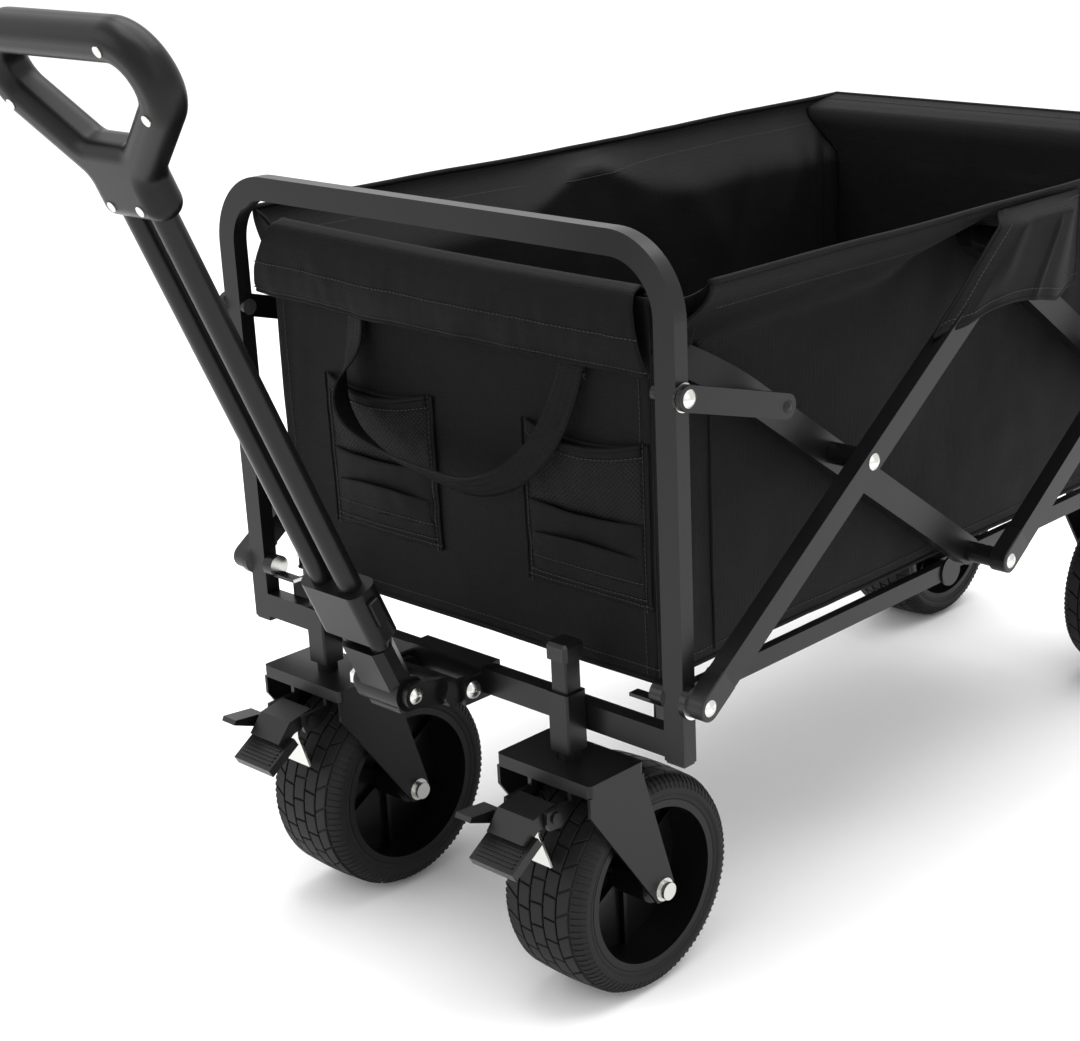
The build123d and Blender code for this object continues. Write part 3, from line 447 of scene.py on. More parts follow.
def cloth_grid(name, columns, rows, shape, size, look=None, thickness=None, keep=None, offset=0.0):
    """Sheet of cloth: shape(u, v) gives millimetres, and size is its flat width and height there."""
    points, maps = [], []
    for j in range(rows + 1):
        for i in range(columns + 1):
            u, v = i / columns, j / rows
            points.append(at(*shape(u, v)))
            maps.append((u * size[0] * MM, v * size[1] * MM))
    faces = []
    wide = columns + 1
    for j in range(rows):
        for i in range(columns):
            if keep and not keep((i + 0.5) / columns, (j + 0.5) / rows):
                continue
            a = j * wide + i
            faces.append((a, a + 1, a + wide + 1, a + wide))
    piece = new_piece(name, points, faces, look or LOOKS["canvas"], maps)
    solid = piece.modifiers.new("thickness", "SOLIDIFY")
    solid.thickness = thickness or settings("cloth").thickness
    solid.offset = offset
    solid.use_even_offset = False
    return baked(piece)


def tube_along(name, path, radius, look, sides=8, closed=False):
    """Round cord or rolled hem that follows points in the part's frame."""
    points, faces, maps = [], [], []
    count = len(path)
    run = 0.0
    up = Vector((0, 0, 1))
    for i, p in enumerate(path):
        before = path[(i - 1) % count] if closed or i else p
        after = path[(i + 1) % count] if closed or i < count - 1 else p
        ahead = (after - before).normalized()
        side = ahead.cross(up)
        if side.length < 0.1:
            side = ahead.cross(Vector((0, 1, 0)))
        side.normalize()
        rise = side.cross(ahead).normalized()
        if i:
            run += (p - path[i - 1]).length
        for k in range(sides):
            turn = 2 * math.pi * k / sides
            points.append(p + side * (radius * math.cos(turn)) + rise * (radius * math.sin(turn)))
            maps.append((run, k * radius))
    rings = count if closed else count - 1
    for i in range(rings):
        for k in range(sides):
            a, b = i * sides + k, i * sides + (k + 1) % sides
            c, d = (i + 1) % count * sides + (k + 1) % sides, (i + 1) % count * sides + k
            faces.append((a, b, c, d))
    if not closed:
        faces.append(tuple(range(sides))[::-1])
        faces.append(tuple((count - 1) * sides + k for k in range(sides)))
    return new_piece(name, points, faces, look, maps)


def soft_step(x, low, high):
    """Rises smoothly from 0 to 1 between two values."""
    t = min(1.0, max(0.0, (x - low) / (high - low)))
    return t * t * (3 - 2 * t)


def drift(a, b, c, scale):
    """Smooth repeatable noise, about -1 to 1."""
    return noise.noise(Vector((a / scale, b / scale, c)))


def crease(x, y, start, end, width):
    """One soft ridge along a line between two points."""
    sx, sy = start
    run, climb = end[0] - sx, end[1] - sy
    t = min(1.0, max(0.0, ((x - sx) * run + (y - sy) * climb) / (run**2 + climb**2)))
    off = math.hypot(x - sx - t * run, y - sy - t * climb)
    return math.exp(-((off / width) ** 2)) * math.sin(math.pi * min(1.0, t + 0.15))


# ---------------------------------------------------------------- repeats with geometry nodes
def socket(tree, name, kind, default=None):
    """Adds an input to a geometry tree and returns its key."""
    made = tree.interface.new_socket(name, in_out="INPUT", socket_type=kind)
    if default is not None:
        made.default_value = default
    return made.identifier


def repeat_tree(name):
    """Empty geometry tree with its input and output."""
    tree = bpy.data.node_groups.new(name, "GeometryNodeTree")
    tree.interface.new_socket("Geometry", in_out="INPUT", socket_type="NodeSocketGeometry")
    tree.interface.new_socket("Geometry", in_out="OUTPUT", socket_type="NodeSocketGeometry")
    return tree, tree.nodes.new("NodeGroupInput")


def finish_tree(tree, source, geometry):
    """Realize Instances and Set Material end every tree."""
    real = add(tree, "GeometryNodeRealizeInstances", links={"Geometry": geometry})
    painted = add(
        tree, "GeometryNodeSetMaterial",
        links={"Geometry": real.outputs["Geometry"], "Material": source.outputs["Material"]},
    )
    add(tree, "NodeGroupOutput", links={"Geometry": painted.outputs["Geometry"]})


def ring_tree():
    """Copies of one piece turned about the X axis."""
    tree, source = repeat_tree("ring_of_pieces")
    keys = {
        "Piece": socket(tree, "Piece", "NodeSocketObject"),
        "Count": socket(tree, "Count", "NodeSocketInt", 12),
        "Material": socket(tree, "Material", "NodeSocketMaterial"),
    }
    line = add(tree, "GeometryNodeMeshLine", links={"Count": source.outputs["Count"]})
    line.inputs["Offset"].default_value = (0, 0, 0)
    info = add(tree, "GeometryNodeObjectInfo", links={"Object": source.outputs["Piece"]})
    index = add(tree, "GeometryNodeInputIndex")
    share = add(
        tree, "ShaderNodeMath", {"operation": "DIVIDE"},
        links={0: index.outputs[0], 1: source.outputs["Count"]},
    )
    turn = add(tree, "ShaderNodeMath", {"operation": "MULTIPLY"}, {1: 2 * math.pi}, {0: share.outputs[0]})
    spin = add(tree, "ShaderNodeCombineXYZ", links={"X": turn.outputs[0]})
    copies = add(
        tree, "GeometryNodeInstanceOnPoints",
        links={
            "Points": line.outputs["Mesh"], "Instance": info.outputs["Geometry"],
            "Rotation": spin.outputs[0],
        },
    )
    finish_tree(tree, source, copies.outputs["Instances"])
    return tree, keys


def stitch_tree():
    """Short threads laid end to end along each line of the mesh."""
    tree, source = repeat_tree("stitches_on_lines")
    keys = {
        "Pitch": socket(tree, "Pitch", "NodeSocketFloat", 0.004),
        "Thread": socket(tree, "Thread", "NodeSocketFloat", 0.0005),
        "Material": socket(tree, "Material", "NodeSocketMaterial"),
    }
    curve = add(tree, "GeometryNodeMeshToCurve", links={"Mesh": source.outputs["Geometry"]})
    dots = add(
        tree, "GeometryNodeCurveToPoints", {"mode": "LENGTH"},
        links={"Curve": curve.outputs["Curve"], "Length": source.outputs["Pitch"]},
    )
    long = add(tree, "ShaderNodeMath", {"operation": "MULTIPLY"}, {1: 0.72}, {0: source.outputs["Pitch"]})
    thread = add(
        tree, "GeometryNodeMeshCylinder", values={"Vertices": 6},
        links={"Radius": source.outputs["Thread"], "Depth": long.outputs[0]},
    )
    copies = add(
        tree, "GeometryNodeInstanceOnPoints",
        links={
            "Points": dots.outputs["Points"], "Instance": thread.outputs["Mesh"],
            "Rotation": dots.outputs["Rotation"],
        },
    )
    finish_tree(tree, source, copies.outputs["Instances"])
    return tree, keys


TREES = {}


def repeated(piece, tree_name, values, name):
    """Runs a tree on a piece and returns the plain mesh it makes."""
    if tree_name not in TREES:
        TREES[tree_name] = {"ring": ring_tree, "stitches": stitch_tree}[tree_name]()
    tree, keys = TREES[tree_name]
    modifier = piece.modifiers.new(tree_name, "NODES")
    modifier.node_group = tree
    for key, value in values.items():
        modifier[keys[key]] = value
    return baked(piece, name)


def stitched(name, lines):
    """Stitches along lines of points in the part's frame, as one mesh."""
    points, edges = [], []
    for line in lines:
        start = len(points)
        points += [tuple(p) for p in line]
        edges += [(start + i, start + i + 1) for i in range(len(line) - 1)]
    mesh = bpy.data.meshes.new(name)
    mesh.from_pydata(points, edges, [])
    piece = bpy.data.objects.new(name + "_lines", mesh)
    bpy.context.scene.collection.objects.link(piece)
    cloth = settings("cloth")
    values = {"Pitch": cloth.stitch, "Thread": 0.00045, "Material": LOOKS["thread"]}
    return repeated(piece, "stitches", values, name)


# ---------------------------------------------------------------- tyres
CROWN_DROP, SHOULDER_DROP, BLOCK_DEEP = 1.0, 3.2, 3.2
RIB_HALF_TURN = 0.0125
CASING_SEGMENTS = 128


def crown(across, radius):
    """Height of the tread across the tyre, in millimetres from the axle."""
    a = abs(across)
    return radius - CROWN_DROP * soft_step(a, 4, 33) - SHOULDER_DROP * soft_step(a, 30, 42)


def tread_row(radius, count, groove):
    """One row of five blocks across the tyre, staggered, the outer ones cut on the slant."""
    pitch = 2 * math.pi / count
    gap = groove / MM / radius
    edges = [-34.0, -21.0, -7.2, 7.2, 21.0, 34.0]
    lags = [0.0, 0.42, 0.0, 0.5, 0.12]
    slants = [0.34, 0.05, -0.04, 0.05, -0.34]
    points, faces = [], []
    for column in range(5):
        low, high = edges[column] + 0.8, edges[column + 1] - 0.8
        begin = (lags[column] * pitch) + gap / 2
        end = begin + pitch - gap
        start = len(points)
        for inset, depth in ((0.0, BLOCK_DEEP), (0.0, 0.55), (0.55, 0.0)):
            ring = []
            for k in range(4):
                ring.append((low + inset, k / 3))
            for k in range(4):
                ring.append((high - inset, 1 - k / 3))
            for across, share in ring:
                share_in = min(1 - inset / 18, max(inset / 18, share))
                turn = begin + (end - begin) * share_in
                lean = slants[column] * pitch * (across - (low + high) / 2) / (high - low)
                r = crown(across, radius) - depth
                angle = turn + lean
                points.append((across * MM, r * MM * math.cos(angle), r * MM * math.sin(angle)))
        for level in range(2):
            for k in range(8):
                a, b = start + level * 8 + k, start + level * 8 + (k + 1) % 8
                faces.append((a, a + 8, b + 8, b))
        top = start + 16
        for k in range(3):
            faces.append((top + k, top + 7 - k, top + 6 - k, top + k + 1))
    return points, faces


def shoulder_rib(radius):
    """One short rib on each shoulder."""
    points, faces = [], []
    for side in (-1, 1):
        start = len(points)
        for across, drop, width in ((35.0, 3.1, 0.8), (38.5, 3.4, 1.0), (42.0, 5.8, 0.9), (43.6, 9.5, 0.4)):
            r = (crown(across, radius) - drop + 2.3) * MM
            for share, out in ((-1, -0.0016), (-0.7, 0.0), (0.7, 0.0), (1, -0.0016)):
                turn = RIB_HALF_TURN * width * share
                points.append((side * across * MM, (r + out) * math.cos(turn), (r + out) * math.sin(turn)))
        for i in range(3):
            for k in range(3):
                a = start + i * 4 + k
                quad = (a, a + 1, a + 5, a + 4)
                faces.append(quad if side > 0 else quad[::-1])
    return points, faces


def tyre_body(radius, rim):
    """Casing under the blocks: rounded shoulders, a raised ring on the wall and the bead."""
    half = [
        (0.0, crown(0, radius) - 1.9), (12.0, crown(12, radius) - 1.9), (24.0, crown(24, radius) - 1.9),
        (33.0, crown(33, radius) - 1.8), (38.5, radius - 5.6), (41.8, radius - 8.8), (43.4, radius - 12.5),
        (43.7, radius - 15.6), (43.2, radius - 17.6), (42.4, radius - 18.2), (42.4, radius - 19.0),
        (43.0, radius - 19.8), (42.6, rim + 1.4), (41.0, rim - 0.6), (38.0, rim - 1.2),
    ]
    outline = [(-a, r) for a, r in reversed(half[1:])] + half
    points, faces = [], []
    for i in range(CASING_SEGMENTS):
        turn = 2 * math.pi * i / CASING_SEGMENTS
        for across, r in outline:
            points.append((across * MM, r * MM * math.cos(turn), r * MM * math.sin(turn)))
    wide = len(outline)
    for i in range(CASING_SEGMENTS):
        for k in range(wide - 1):
            a, b = i * wide + k, (i + 1) % CASING_SEGMENTS * wide + k
            faces.append((a, a + 1, b + 1, b))
        a, b = i * wide, (i + 1) % CASING_SEGMENTS * wide
        faces.append((a + wide - 1, a, b, b + wide - 1))
    return points, faces


def faced_out(piece):
    """Turns a closed piece's normals outwards."""
    grown = bmesh.new()
    grown.from_mesh(piece.data)
    bmesh.ops.recalc_face_normals(grown, faces=grown.faces)
    grown.to_mesh(piece.data)
    grown.free()
    return piece


class WAGON_OT_tyres(bpy.types.Operator):
    """Treaded tyres in place of the plain ones"""

    bl_idname = "wagon.tyres"
    bl_label = "Tyres"

    def execute(self, context):
        wheels = settings("wheels")
        look = LOOKS["tyre_rubber"]
        low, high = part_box("tyre_front_left")
        radius = (high.z - low.z) / 2 / MM
        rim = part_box("rim_front_left")
        rim_radius = (rim[1].z - rim[0].z) / 2 / MM
        row = new_piece("tread_row", *tread_row(radius, wheels.rows, wheels.groove), look, smooth=False)
        rib = new_piece("shoulder_rib", *shoulder_rib(radius), look, smooth=False)
        for end in ("front", "rear"):
            for side, _ in SIDES:
                body = f"wheel_{end}_{side}"
                casing = faced_out(new_piece("casing", *tyre_body(radius, rim_radius), look))
                parts = [casing]
                for source, count in ((row, wheels.rows), (rib, wheels.notches)):
                    holder = new_piece("holder", [(0, 0, 0)], [], look, smooth=False)
                    values = {"Piece": source, "Count": count, "Material": look}
                    parts.append(repeated(holder, "ring", values, source.name + "_ring"))
                tyre = joined(parts, "tyre_" + body)
                low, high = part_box(f"tyre_{end}_{side}")
                tyre.data.transform(Matrix.Translation((low + high) / 2))
                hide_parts(f"tyre_{end}_{side}")
                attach(tyre, body)
        for source in (row, rib):
            bpy.data.objects.remove(source)
        return {"FINISHED"}


# ---------------------------------------------------------------- cloth
BASE_HEM, FLAP_HEM, RIM_HEM, SEAM_ROLL = 0.0022, 0.0024, 0.0026, 0.0016


def front_swell(x, z):
    """How far the front panel stands out of its plane, in millimetres."""
    ripple = settings("cloth").ripple / MM
    swell = math.sin(math.pi * (x + WALL_X) / (2 * WALL_X)) * math.sin(math.pi * (z - BASE_Z) / 330)
    folds = 1.1 * crease(x, z, (-103, 540), (-150, 300), 14)
    folds += crease(x, z, (148, 545), (120, 300), 16)
    folds += 0.8 * crease(x, z, (-180, 560), (-205, 330), 9)
    return ripple * (0.55 * swell + 0.5 * drift(x, z, 3.1, 90) + 0.16 * drift(x, z, 7.7, 28)) + folds


def front_panel_shape(u, v):
    """Front panel between the floor and the hem."""
    x = (2 * u - 1) * (WALL_X + 0.4)
    z = BASE_Z + 1 + v * (RIM_Z - BASE_Z - 14)
    return x, WALL_Y + 0.6 - front_swell(x, z), z


FLAP_PATH = (
    (42, 563), (44, 578), (37, 591), (27, 597.5), (16, 594), (9.5, 584), (6, 570), (4.4, 557), (6, 544),
    (9.5, 537.5),
)
FLAP_HALF, FLAP_SPREAD, FLAP_LEAN = 205, 21, 6.3


def flap_shape(u, v):
    """Canvas folded over the cross tube and hanging in front of the panel."""
    spot = v * (len(FLAP_PATH) - 1)
    i = min(int(spot), len(FLAP_PATH) - 2)
    t = spot - i
    y, z = (a + (b - a) * t for a, b in zip(FLAP_PATH[i], FLAP_PATH[i + 1]))
    out = soft_step(v, 0.3, 1.0)
    half = FLAP_HALF + FLAP_SPREAD * out
    x = (2 * u - 1) * half
    hang = soft_step(v, 0.45, 0.8)
    sag = -3.5 * math.sin(math.pi * u) * (0.4 + 0.6 * v) + 1.6 * drift(x, 0, 5.0, 60) * out
    y += hang * (2.6 * drift(x, z, 2.2, 42) + 1.1 * drift(x, z * 0.4, 9.0, 13))
    y -= hang * 2.2 * crease(x, z, (-158, 592), (-120, 548), 7)
    y -= hang * 1.6 * crease(x, z, (-188, 590), (-150, 560), 6)
    y -= hang * 1.4 * crease(x, z, (120, 590), (132, 552), 6)
    z += sag + FLAP_LEAN * (1 - u)
    return x, y, z


MIDDLE_Y = deep(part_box("outer_front_arms")[1].y) - 10.5


def flare(y, z):
    """Share of the way from the wall to the rim: higher up where it clears the arms' top pivot."""
    near_pivot = math.exp(-(((y - MIDDLE_Y) / 75) ** 2))
    return soft_step(z, RIM_Z - 62 + 46 * near_pivot, RIM_Z - 3)


RIM_BACK = 60.0


def side_shape(side):
    """Side panel: flat behind the arms, then turned out to the rim."""

    def shape(u, v):
        z = BASE_Z + 1 + v * (RIM_Z + 1.5 - BASE_Z - 1)
        low, high = WALL_Y + 2.2, BACK_Y - 2.0
        y = low + u * (high - low)
        out = flare(y, z)
        top = low + 16 + u * (high + RIM_BACK - low - 16)
        y += (top - y) * out
        ends = math.sin(math.pi * u) ** 0.5
        ripple = settings("cloth").ripple / MM
        wave = 0.9 * drift(y, z, 4.4 + side, 120) + 0.35 * drift(y, z, 8.8 + side, 36)
        folds = 1.4 * crease(y, z, (60, 300), (75, 520), 8)
        folds += 2.2 * crease(y, z, (430, 560), (300, 330), 20)
        folds += 2.0 * crease(y, z, (440, 560), (600, 330), 22)
        folds -= 1.8 * crease(y, z, (770, 590), (690, 300), 16)
        folds += side * 4.5 * crease(y, z, (520, 600), (650, 430), 24)
        folds -= side * 4 * crease(y, z, (690, 600), (600, 400), 20)
        folds += side * 4 * crease(y, z, (760, 600), (700, 420), 16)
        folds += 4 * math.exp(-(((u - 0.972) / 0.011) ** 2)) - 3 * math.exp(-(((u - 0.945) / 0.012) ** 2))
        x = WALL_X - 2.2 + ripple * wave * ends + folds * (1 - out) - 3 * math.sin(math.pi * v) * ends
        x += out * (RIM_X - 2.5 - WALL_X + 2.2)
        z += out * (1.2 * drift(y, 0, 6.0 + side, 150) - 2.5 * ends * math.sin(math.pi * u))
        return side * x, y, z

    return shape


TUBE_HIGH, TUBE_LOW = Vector((40, 551)), Vector((100, 509))
TUBE_SLOT = 13.6


def clear_of_tube(u, v, shape):
    """False where the bent tube passes through the side panel."""
    run = TUBE_LOW - TUBE_HIGH
    off = Vector(shape(u, v)[1:]) - TUBE_HIGH
    t = min(1.0, max(0.0, off.dot(run) / run.length_squared))
    return (off - run * t).length > TUBE_SLOT


def line_on(shape, count, u=None, v=None, lift=(0, 0, 0), span=(0.0, 1.0)):
    """Points in the part's frame along one row or column of a sheet."""
    made = []
    for i in range(count + 1):
        t = span[0] + (span[1] - span[0]) * i / count
        x, y, z = shape(t if u is None else u, t if v is None else v)
        made.append(at(x + lift[0], y + lift[1], z + lift[2]))
    return made


def carried(piece, body):
    """Puts a piece on the body that carries it."""
    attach(piece, body)


def folding(piece):
    """Puts a piece on the front frame and gives it a mesh of its own."""
    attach(piece, "front_frame")
    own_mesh(piece)


class WAGON_OT_front_cloth(bpy.types.Operator):
    """Front panel, and the hem that is folded over the cross tube"""

    bl_idname = "wagon.front_cloth"
    bl_label = "Front cloth"

    def execute(self, context):
        cut = (2 * WALL_X, 303)
        panel = cloth_grid("front_panel", 96, 66, front_panel_shape, cut)
        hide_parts("front_wall")
        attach(panel, "front_frame")
        flap = cloth_grid("front_flap", 120, 30, flap_shape, (440, 100), thickness=0.0022)
        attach(flap, "front_frame")
        bottom = tube_along(
            "front_bottom_hem", line_on(front_panel_shape, 60, v=0.0), BASE_HEM, LOOKS["canvas"]
        )
        roll = tube_along("flap_hem", line_on(flap_shape, 80, v=1.0), FLAP_HEM, LOOKS["canvas"])
        lines = [
            line_on(flap_shape, 160, v=0.955, lift=(0, -1.5, 0)),
            line_on(flap_shape, 160, v=0.72, lift=(0, -1.5, 0)),
            line_on(front_panel_shape, 120, v=0.035, lift=(0, -1.1, 0)),
            line_on(front_panel_shape, 90, u=0.025, lift=(0, -1.1, 0), span=(0.02, 0.85)),
            line_on(front_panel_shape, 90, u=0.975, lift=(0, -1.1, 0), span=(0.02, 0.85)),
        ]
        thread = stitched("front_stitches", lines)
        for piece in (bottom, roll, thread):
            carried(piece, "front_frame")
        return {"FINISHED"}


class WAGON_OT_side_cloth(bpy.types.Operator):
    """Side panels with their rims, seams and corner webs"""

    bl_idname = "wagon.side_cloth"
    bl_label = "Side cloth"

    def execute(self, context):
        for name, side in SIDES:
            shape = side_shape(side)
            panel = cloth_grid(
                "side_panel_" + name, 170, 70, shape, (BACK_Y - WALL_Y, 330),
                keep=lambda u, v: clear_of_tube(u, v, shape),
            )
            rim = tube_along("side_rim_" + name, line_on(shape, 90, v=1.0), RIM_HEM, LOOKS["canvas"])
            base = tube_along("side_base_" + name, line_on(shape, 90, v=0.0), BASE_HEM, LOOKS["canvas"])
            upright = line_on(shape, 40, u=0.085, span=(0.02, 0.64), lift=(side * 0.9, 0, 0))
            seam = tube_along("side_seam_" + name, upright, SEAM_ROLL, LOOKS["canvas"])
            lines = [
                line_on(shape, 220, v=0.925, lift=(side * 1.0, 0, 0), span=(0.03, 1.0)),
                line_on(shape, 220, v=0.925, lift=(-side * 1.0, 0, 0), span=(0.03, 1.0)),
                line_on(shape, 220, v=0.03, lift=(side * 1.0, 0, 0)),
            ]
            thread = stitched("side_stitches_" + name, lines)
            corner = cloth_grid("corner_web_" + name, 24, 24, corner_shape(side), (60, 60))
            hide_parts("side_wall_" + name)
            for piece in (panel, rim, base, seam, thread):
                folding(piece)
            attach(corner, "front_frame")
        return {"FINISHED"}


def corner_shape(side):
    """Gathered web between the folded hem and the rim's front end."""
    a, b = Vector((204, 30, 592)), Vector((RIM_X - 4, WALL_Y + 19, RIM_Z + 1))
    c, d = Vector((212, WALL_Y + 3, 545)), Vector((219, WALL_Y + 44, 549))

    def shape(u, v):
        top, low = a.lerp(b, u), c.lerp(d, u)
        p = top.lerp(low, v)
        p.y += 7 * math.sin(math.pi * u) * (1 - v) + 1.6 * math.sin(9 * u + 2 * v) * (1 - v)
        p.z -= 9 * math.sin(math.pi * u) * (1 - v)
        return side * p.x, p.y, p.z

    return shape


def rear_shape(u, v):
    """Rear panel, turned back over the rear frame's top tube."""
    path = [
        (BACK_Y - 1.8, BASE_Z + 1), (BACK_Y - 1.8, 420), (BACK_Y - 1.8, 560), (BACK_Y - 2.4, 586),
        (BACK_Y + 2, 596.5), (BACK_Y + 22, 601), (BACK_Y + RIM_BACK - 2, RIM_Z + 1.5),
    ]
    lengths = [0, 131, 271, 297, 308, 329, 370]
    spot = v * lengths[-1]
    i = max(k for k in range(len(path) - 1) if lengths[k] <= spot)
    t = min(1, (spot - lengths[i]) / (lengths[i + 1] - lengths[i]))
    y, z = (p + (q - p) * t for p, q in zip(path[i], path[i + 1]))
    half = WALL_X - 3 + soft_step(z, RIM_Z - 62, RIM_Z - 4) * (RIM_X - WALL_X + 0.5)
    x = (2 * u - 1) * half
    swell = math.sin(math.pi * u) * math.sin(math.pi * min(1, v * 1.2)) if v < 0.8 else 0
    y -= 3.5 * max(0, swell) + 1.5 * drift(x, z, 12.5, 70) * (v < 0.7)
    return x, y, z


def floor_shape(u, v):
    """Four stiffened panels with soft folds between them."""
    low, high = WALL_Y + 4, BACK_Y - 4
    x = (2 * u - 1) * (WALL_X - 4)
    y = low + v * (high - low)
    z = FLOOR_HIGH.z / MM - 1.2
    for k in range(1, 4):
        z -= 3.0 * math.exp(-(((v - k / 4) * (high - low) / 5) ** 2))
    z += 0.8 * drift(x, y, 1.5, 90)
    return x, y, z


class WAGON_OT_rear_cloth(bpy.types.Operator):
    """Rear panel and the folding floor"""

    bl_idname = "wagon.rear_cloth"
    bl_label = "Rear cloth and floor"

    def execute(self, context):
        panel = cloth_grid("rear_panel", 90, 80, rear_shape, (2 * WALL_X, 370))
        rim = tube_along("rear_rim", line_on(rear_shape, 60, v=1.0), RIM_HEM, LOOKS["canvas"])
        lines = [
            line_on(rear_shape, 120, v=0.93, lift=(0, 0, 1.0)),
            line_on(rear_shape, 120, v=0.03, lift=(0, 1.1, 0)),
        ]
        thread = stitched("rear_stitches", lines)
        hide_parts("rear_wall")
        for piece in (panel, rim, thread):
            carried(piece, "rear_frame")
        cut = (2 * WALL_X - 8, BACK_Y - WALL_Y - 8)
        floor = cloth_grid("basket_floor_cloth", 70, 150, floor_shape, cut, thickness=0.004)
        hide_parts("basket_floor")
        folding(floor)
        return {"FINISHED"}


def pocket_front(low, high, base, top, bulge, droop, seed):
    """Front of a pocket: it swells forward and its mouth droops in the middle."""

    def shape(u, v):
        x = low + u * (high - low)
        z = base + v * (top - base) - droop * v * math.sin(math.pi * u)
        out = bulge * math.sin(math.pi * u) ** 0.7 * (0.25 + 0.75 * v)
        wall = WALL_Y - front_swell(x, z) - 1.2
        return x, wall - out - 0.8 * drift(x, z, seed, 16), z

    return shape


LEFT_POCKET, RIGHT_POCKET, RIGHT_POCKET_REACH = 122, 116, 4
POCKET_HIGH, NET_LOW, NET_HIGH, POUCH_HIGH = 128, 62, 126, 64
LID_LOW, LID_HIGH = 14, 36


def band_over(net):
    """Band of canvas over the top of a net, just in front of it."""

    def shape(u, v):
        x, y, z = net(u, 0.86 + 0.14 * v)
        return x, y - 1.2, z

    return shape


class WAGON_OT_pockets(bpy.types.Operator):
    """Two pockets, each with a net mouth above and a flap pocket below"""

    bl_idname = "wagon.pockets"
    bl_label = "Pockets"

    def execute(self, context):
        low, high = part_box("front_pockets")
        left, right = low.x / MM, high.x / MM
        spots = (
            (left, left + LEFT_POCKET, 3.0),
            (right - RIGHT_POCKET, right + RIGHT_POCKET_REACH, 5.0),
        )
        base = low.z / MM - 4
        pieces, lines = [], []
        for k, (x0, x1, seed) in enumerate(spots):
            name = ("left", "right")[k]
            back = pocket_front(x0 - 6, x1 + 6, base - 5, base + POCKET_HIGH, 0.3, 8, seed)
            net = pocket_front(x0, x1, base + NET_LOW, base + NET_HIGH, 7, 10, seed + 1)
            pouch = pocket_front(x0, x1, base, base + POUCH_HIGH, 6, 2, seed + 2)
            lid = pocket_front(x0 + 3, x1 - 3, base + LID_LOW, base + LID_HIGH, 9, -5, seed + 3)
            made = [
                cloth_grid("pocket_back_" + name, 40, 44, back, (136, 142), thickness=0.001),
                cloth_grid("pocket_net_" + name, 36, 22, net, (x1 - x0, 64), LOOKS["net"], 0.0012),
                cloth_grid("pocket_pouch_" + name, 36, 20, pouch, (x1 - x0, 56), thickness=0.0014),
                cloth_grid("pocket_lid_" + name, 36, 12, lid, (x1 - x0 - 6, 26), thickness=0.0018),
            ]
            mouth = line_on(net, 30, v=1.0)
            forward = [p - Vector((0, 0.0006, 0)) for p in mouth]
            binding = tube_along("pocket_binding_" + name, forward, 0.0022, LOOKS["canvas"], 10)
            band = cloth_grid(
                "pocket_band_" + name, 30, 4, band_over(net), (x1 - x0, 10), thickness=0.0014
            )
            made += [binding, band]
            for edge in (0.0, 1.0):
                line = line_on(back, 50, u=edge, lift=(0, -0.8, 0))
                made.append(tube_along(f"pocket_edge_{name}_{int(edge)}", line, 0.0009, LOOKS["canvas"]))
            lines += [
                line_on(back, 60, u=0.035, lift=(0, -1.0, 0)),
                line_on(back, 60, u=0.965, lift=(0, -1.0, 0)),
                line_on(back, 60, v=0.03, lift=(0, -1.0, 0)), line_on(pouch, 50, v=0.06, lift=(0, -1.3, 0)),
                line_on(lid, 50, v=0.12, lift=(0, -1.3, 0)), line_on(net, 50, v=0.87, lift=(0, -2.3, 0)),
            ]
            pocket = joined(made, "pocket_" + name)
            carried(pocket, "front_frame")
            pieces.append(pocket)
        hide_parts("front_pockets")
        thread = stitched("pocket_stitches", lines)
        carried(thread, "front_frame")
        return {"FINISHED"}


STRAP_PATH = (
    (-104, 17, 541, 12), (-105, 13, 512, 16), (-109, 6, 484, 62), (-104, 2, 462, 74), (-84, 0, 444, 66),
    (-44, -2, 431, 52), (0, -3, 425, 44), (46, -3, 423, 36), (86, -1, 436, 26), (116, 3, 462, 18),
    (134, 7, 492, 12), (143, 12, 522, 8), (147, 16, 546, 4),
)


STRAP_STEPS, STRAP_HALF, STRAP_ACROSS = 120, 11.5, 7


def smooth_path(keys, count):
    """Even points along a rounded line through the keys."""
    keys = np.array(keys, float)
    made = []
    for i in range(count + 1):
        spot = i / count * (len(keys) - 1)
        k = min(int(spot), len(keys) - 2)
        t = spot - k
        p0, p1, p2, p3 = (keys[min(max(k + d, 0), len(keys) - 1)] for d in (-1, 0, 1, 2))
        bend = (2 * p0 - 5 * p1 + 4 * p2 - p3) * t**2
        twist = (3 * p1 - p0 - 3 * p2 + p3) * t**3
        made.append(0.5 * (2 * p1 + (p2 - p0) * t + bend + twist))
    return made


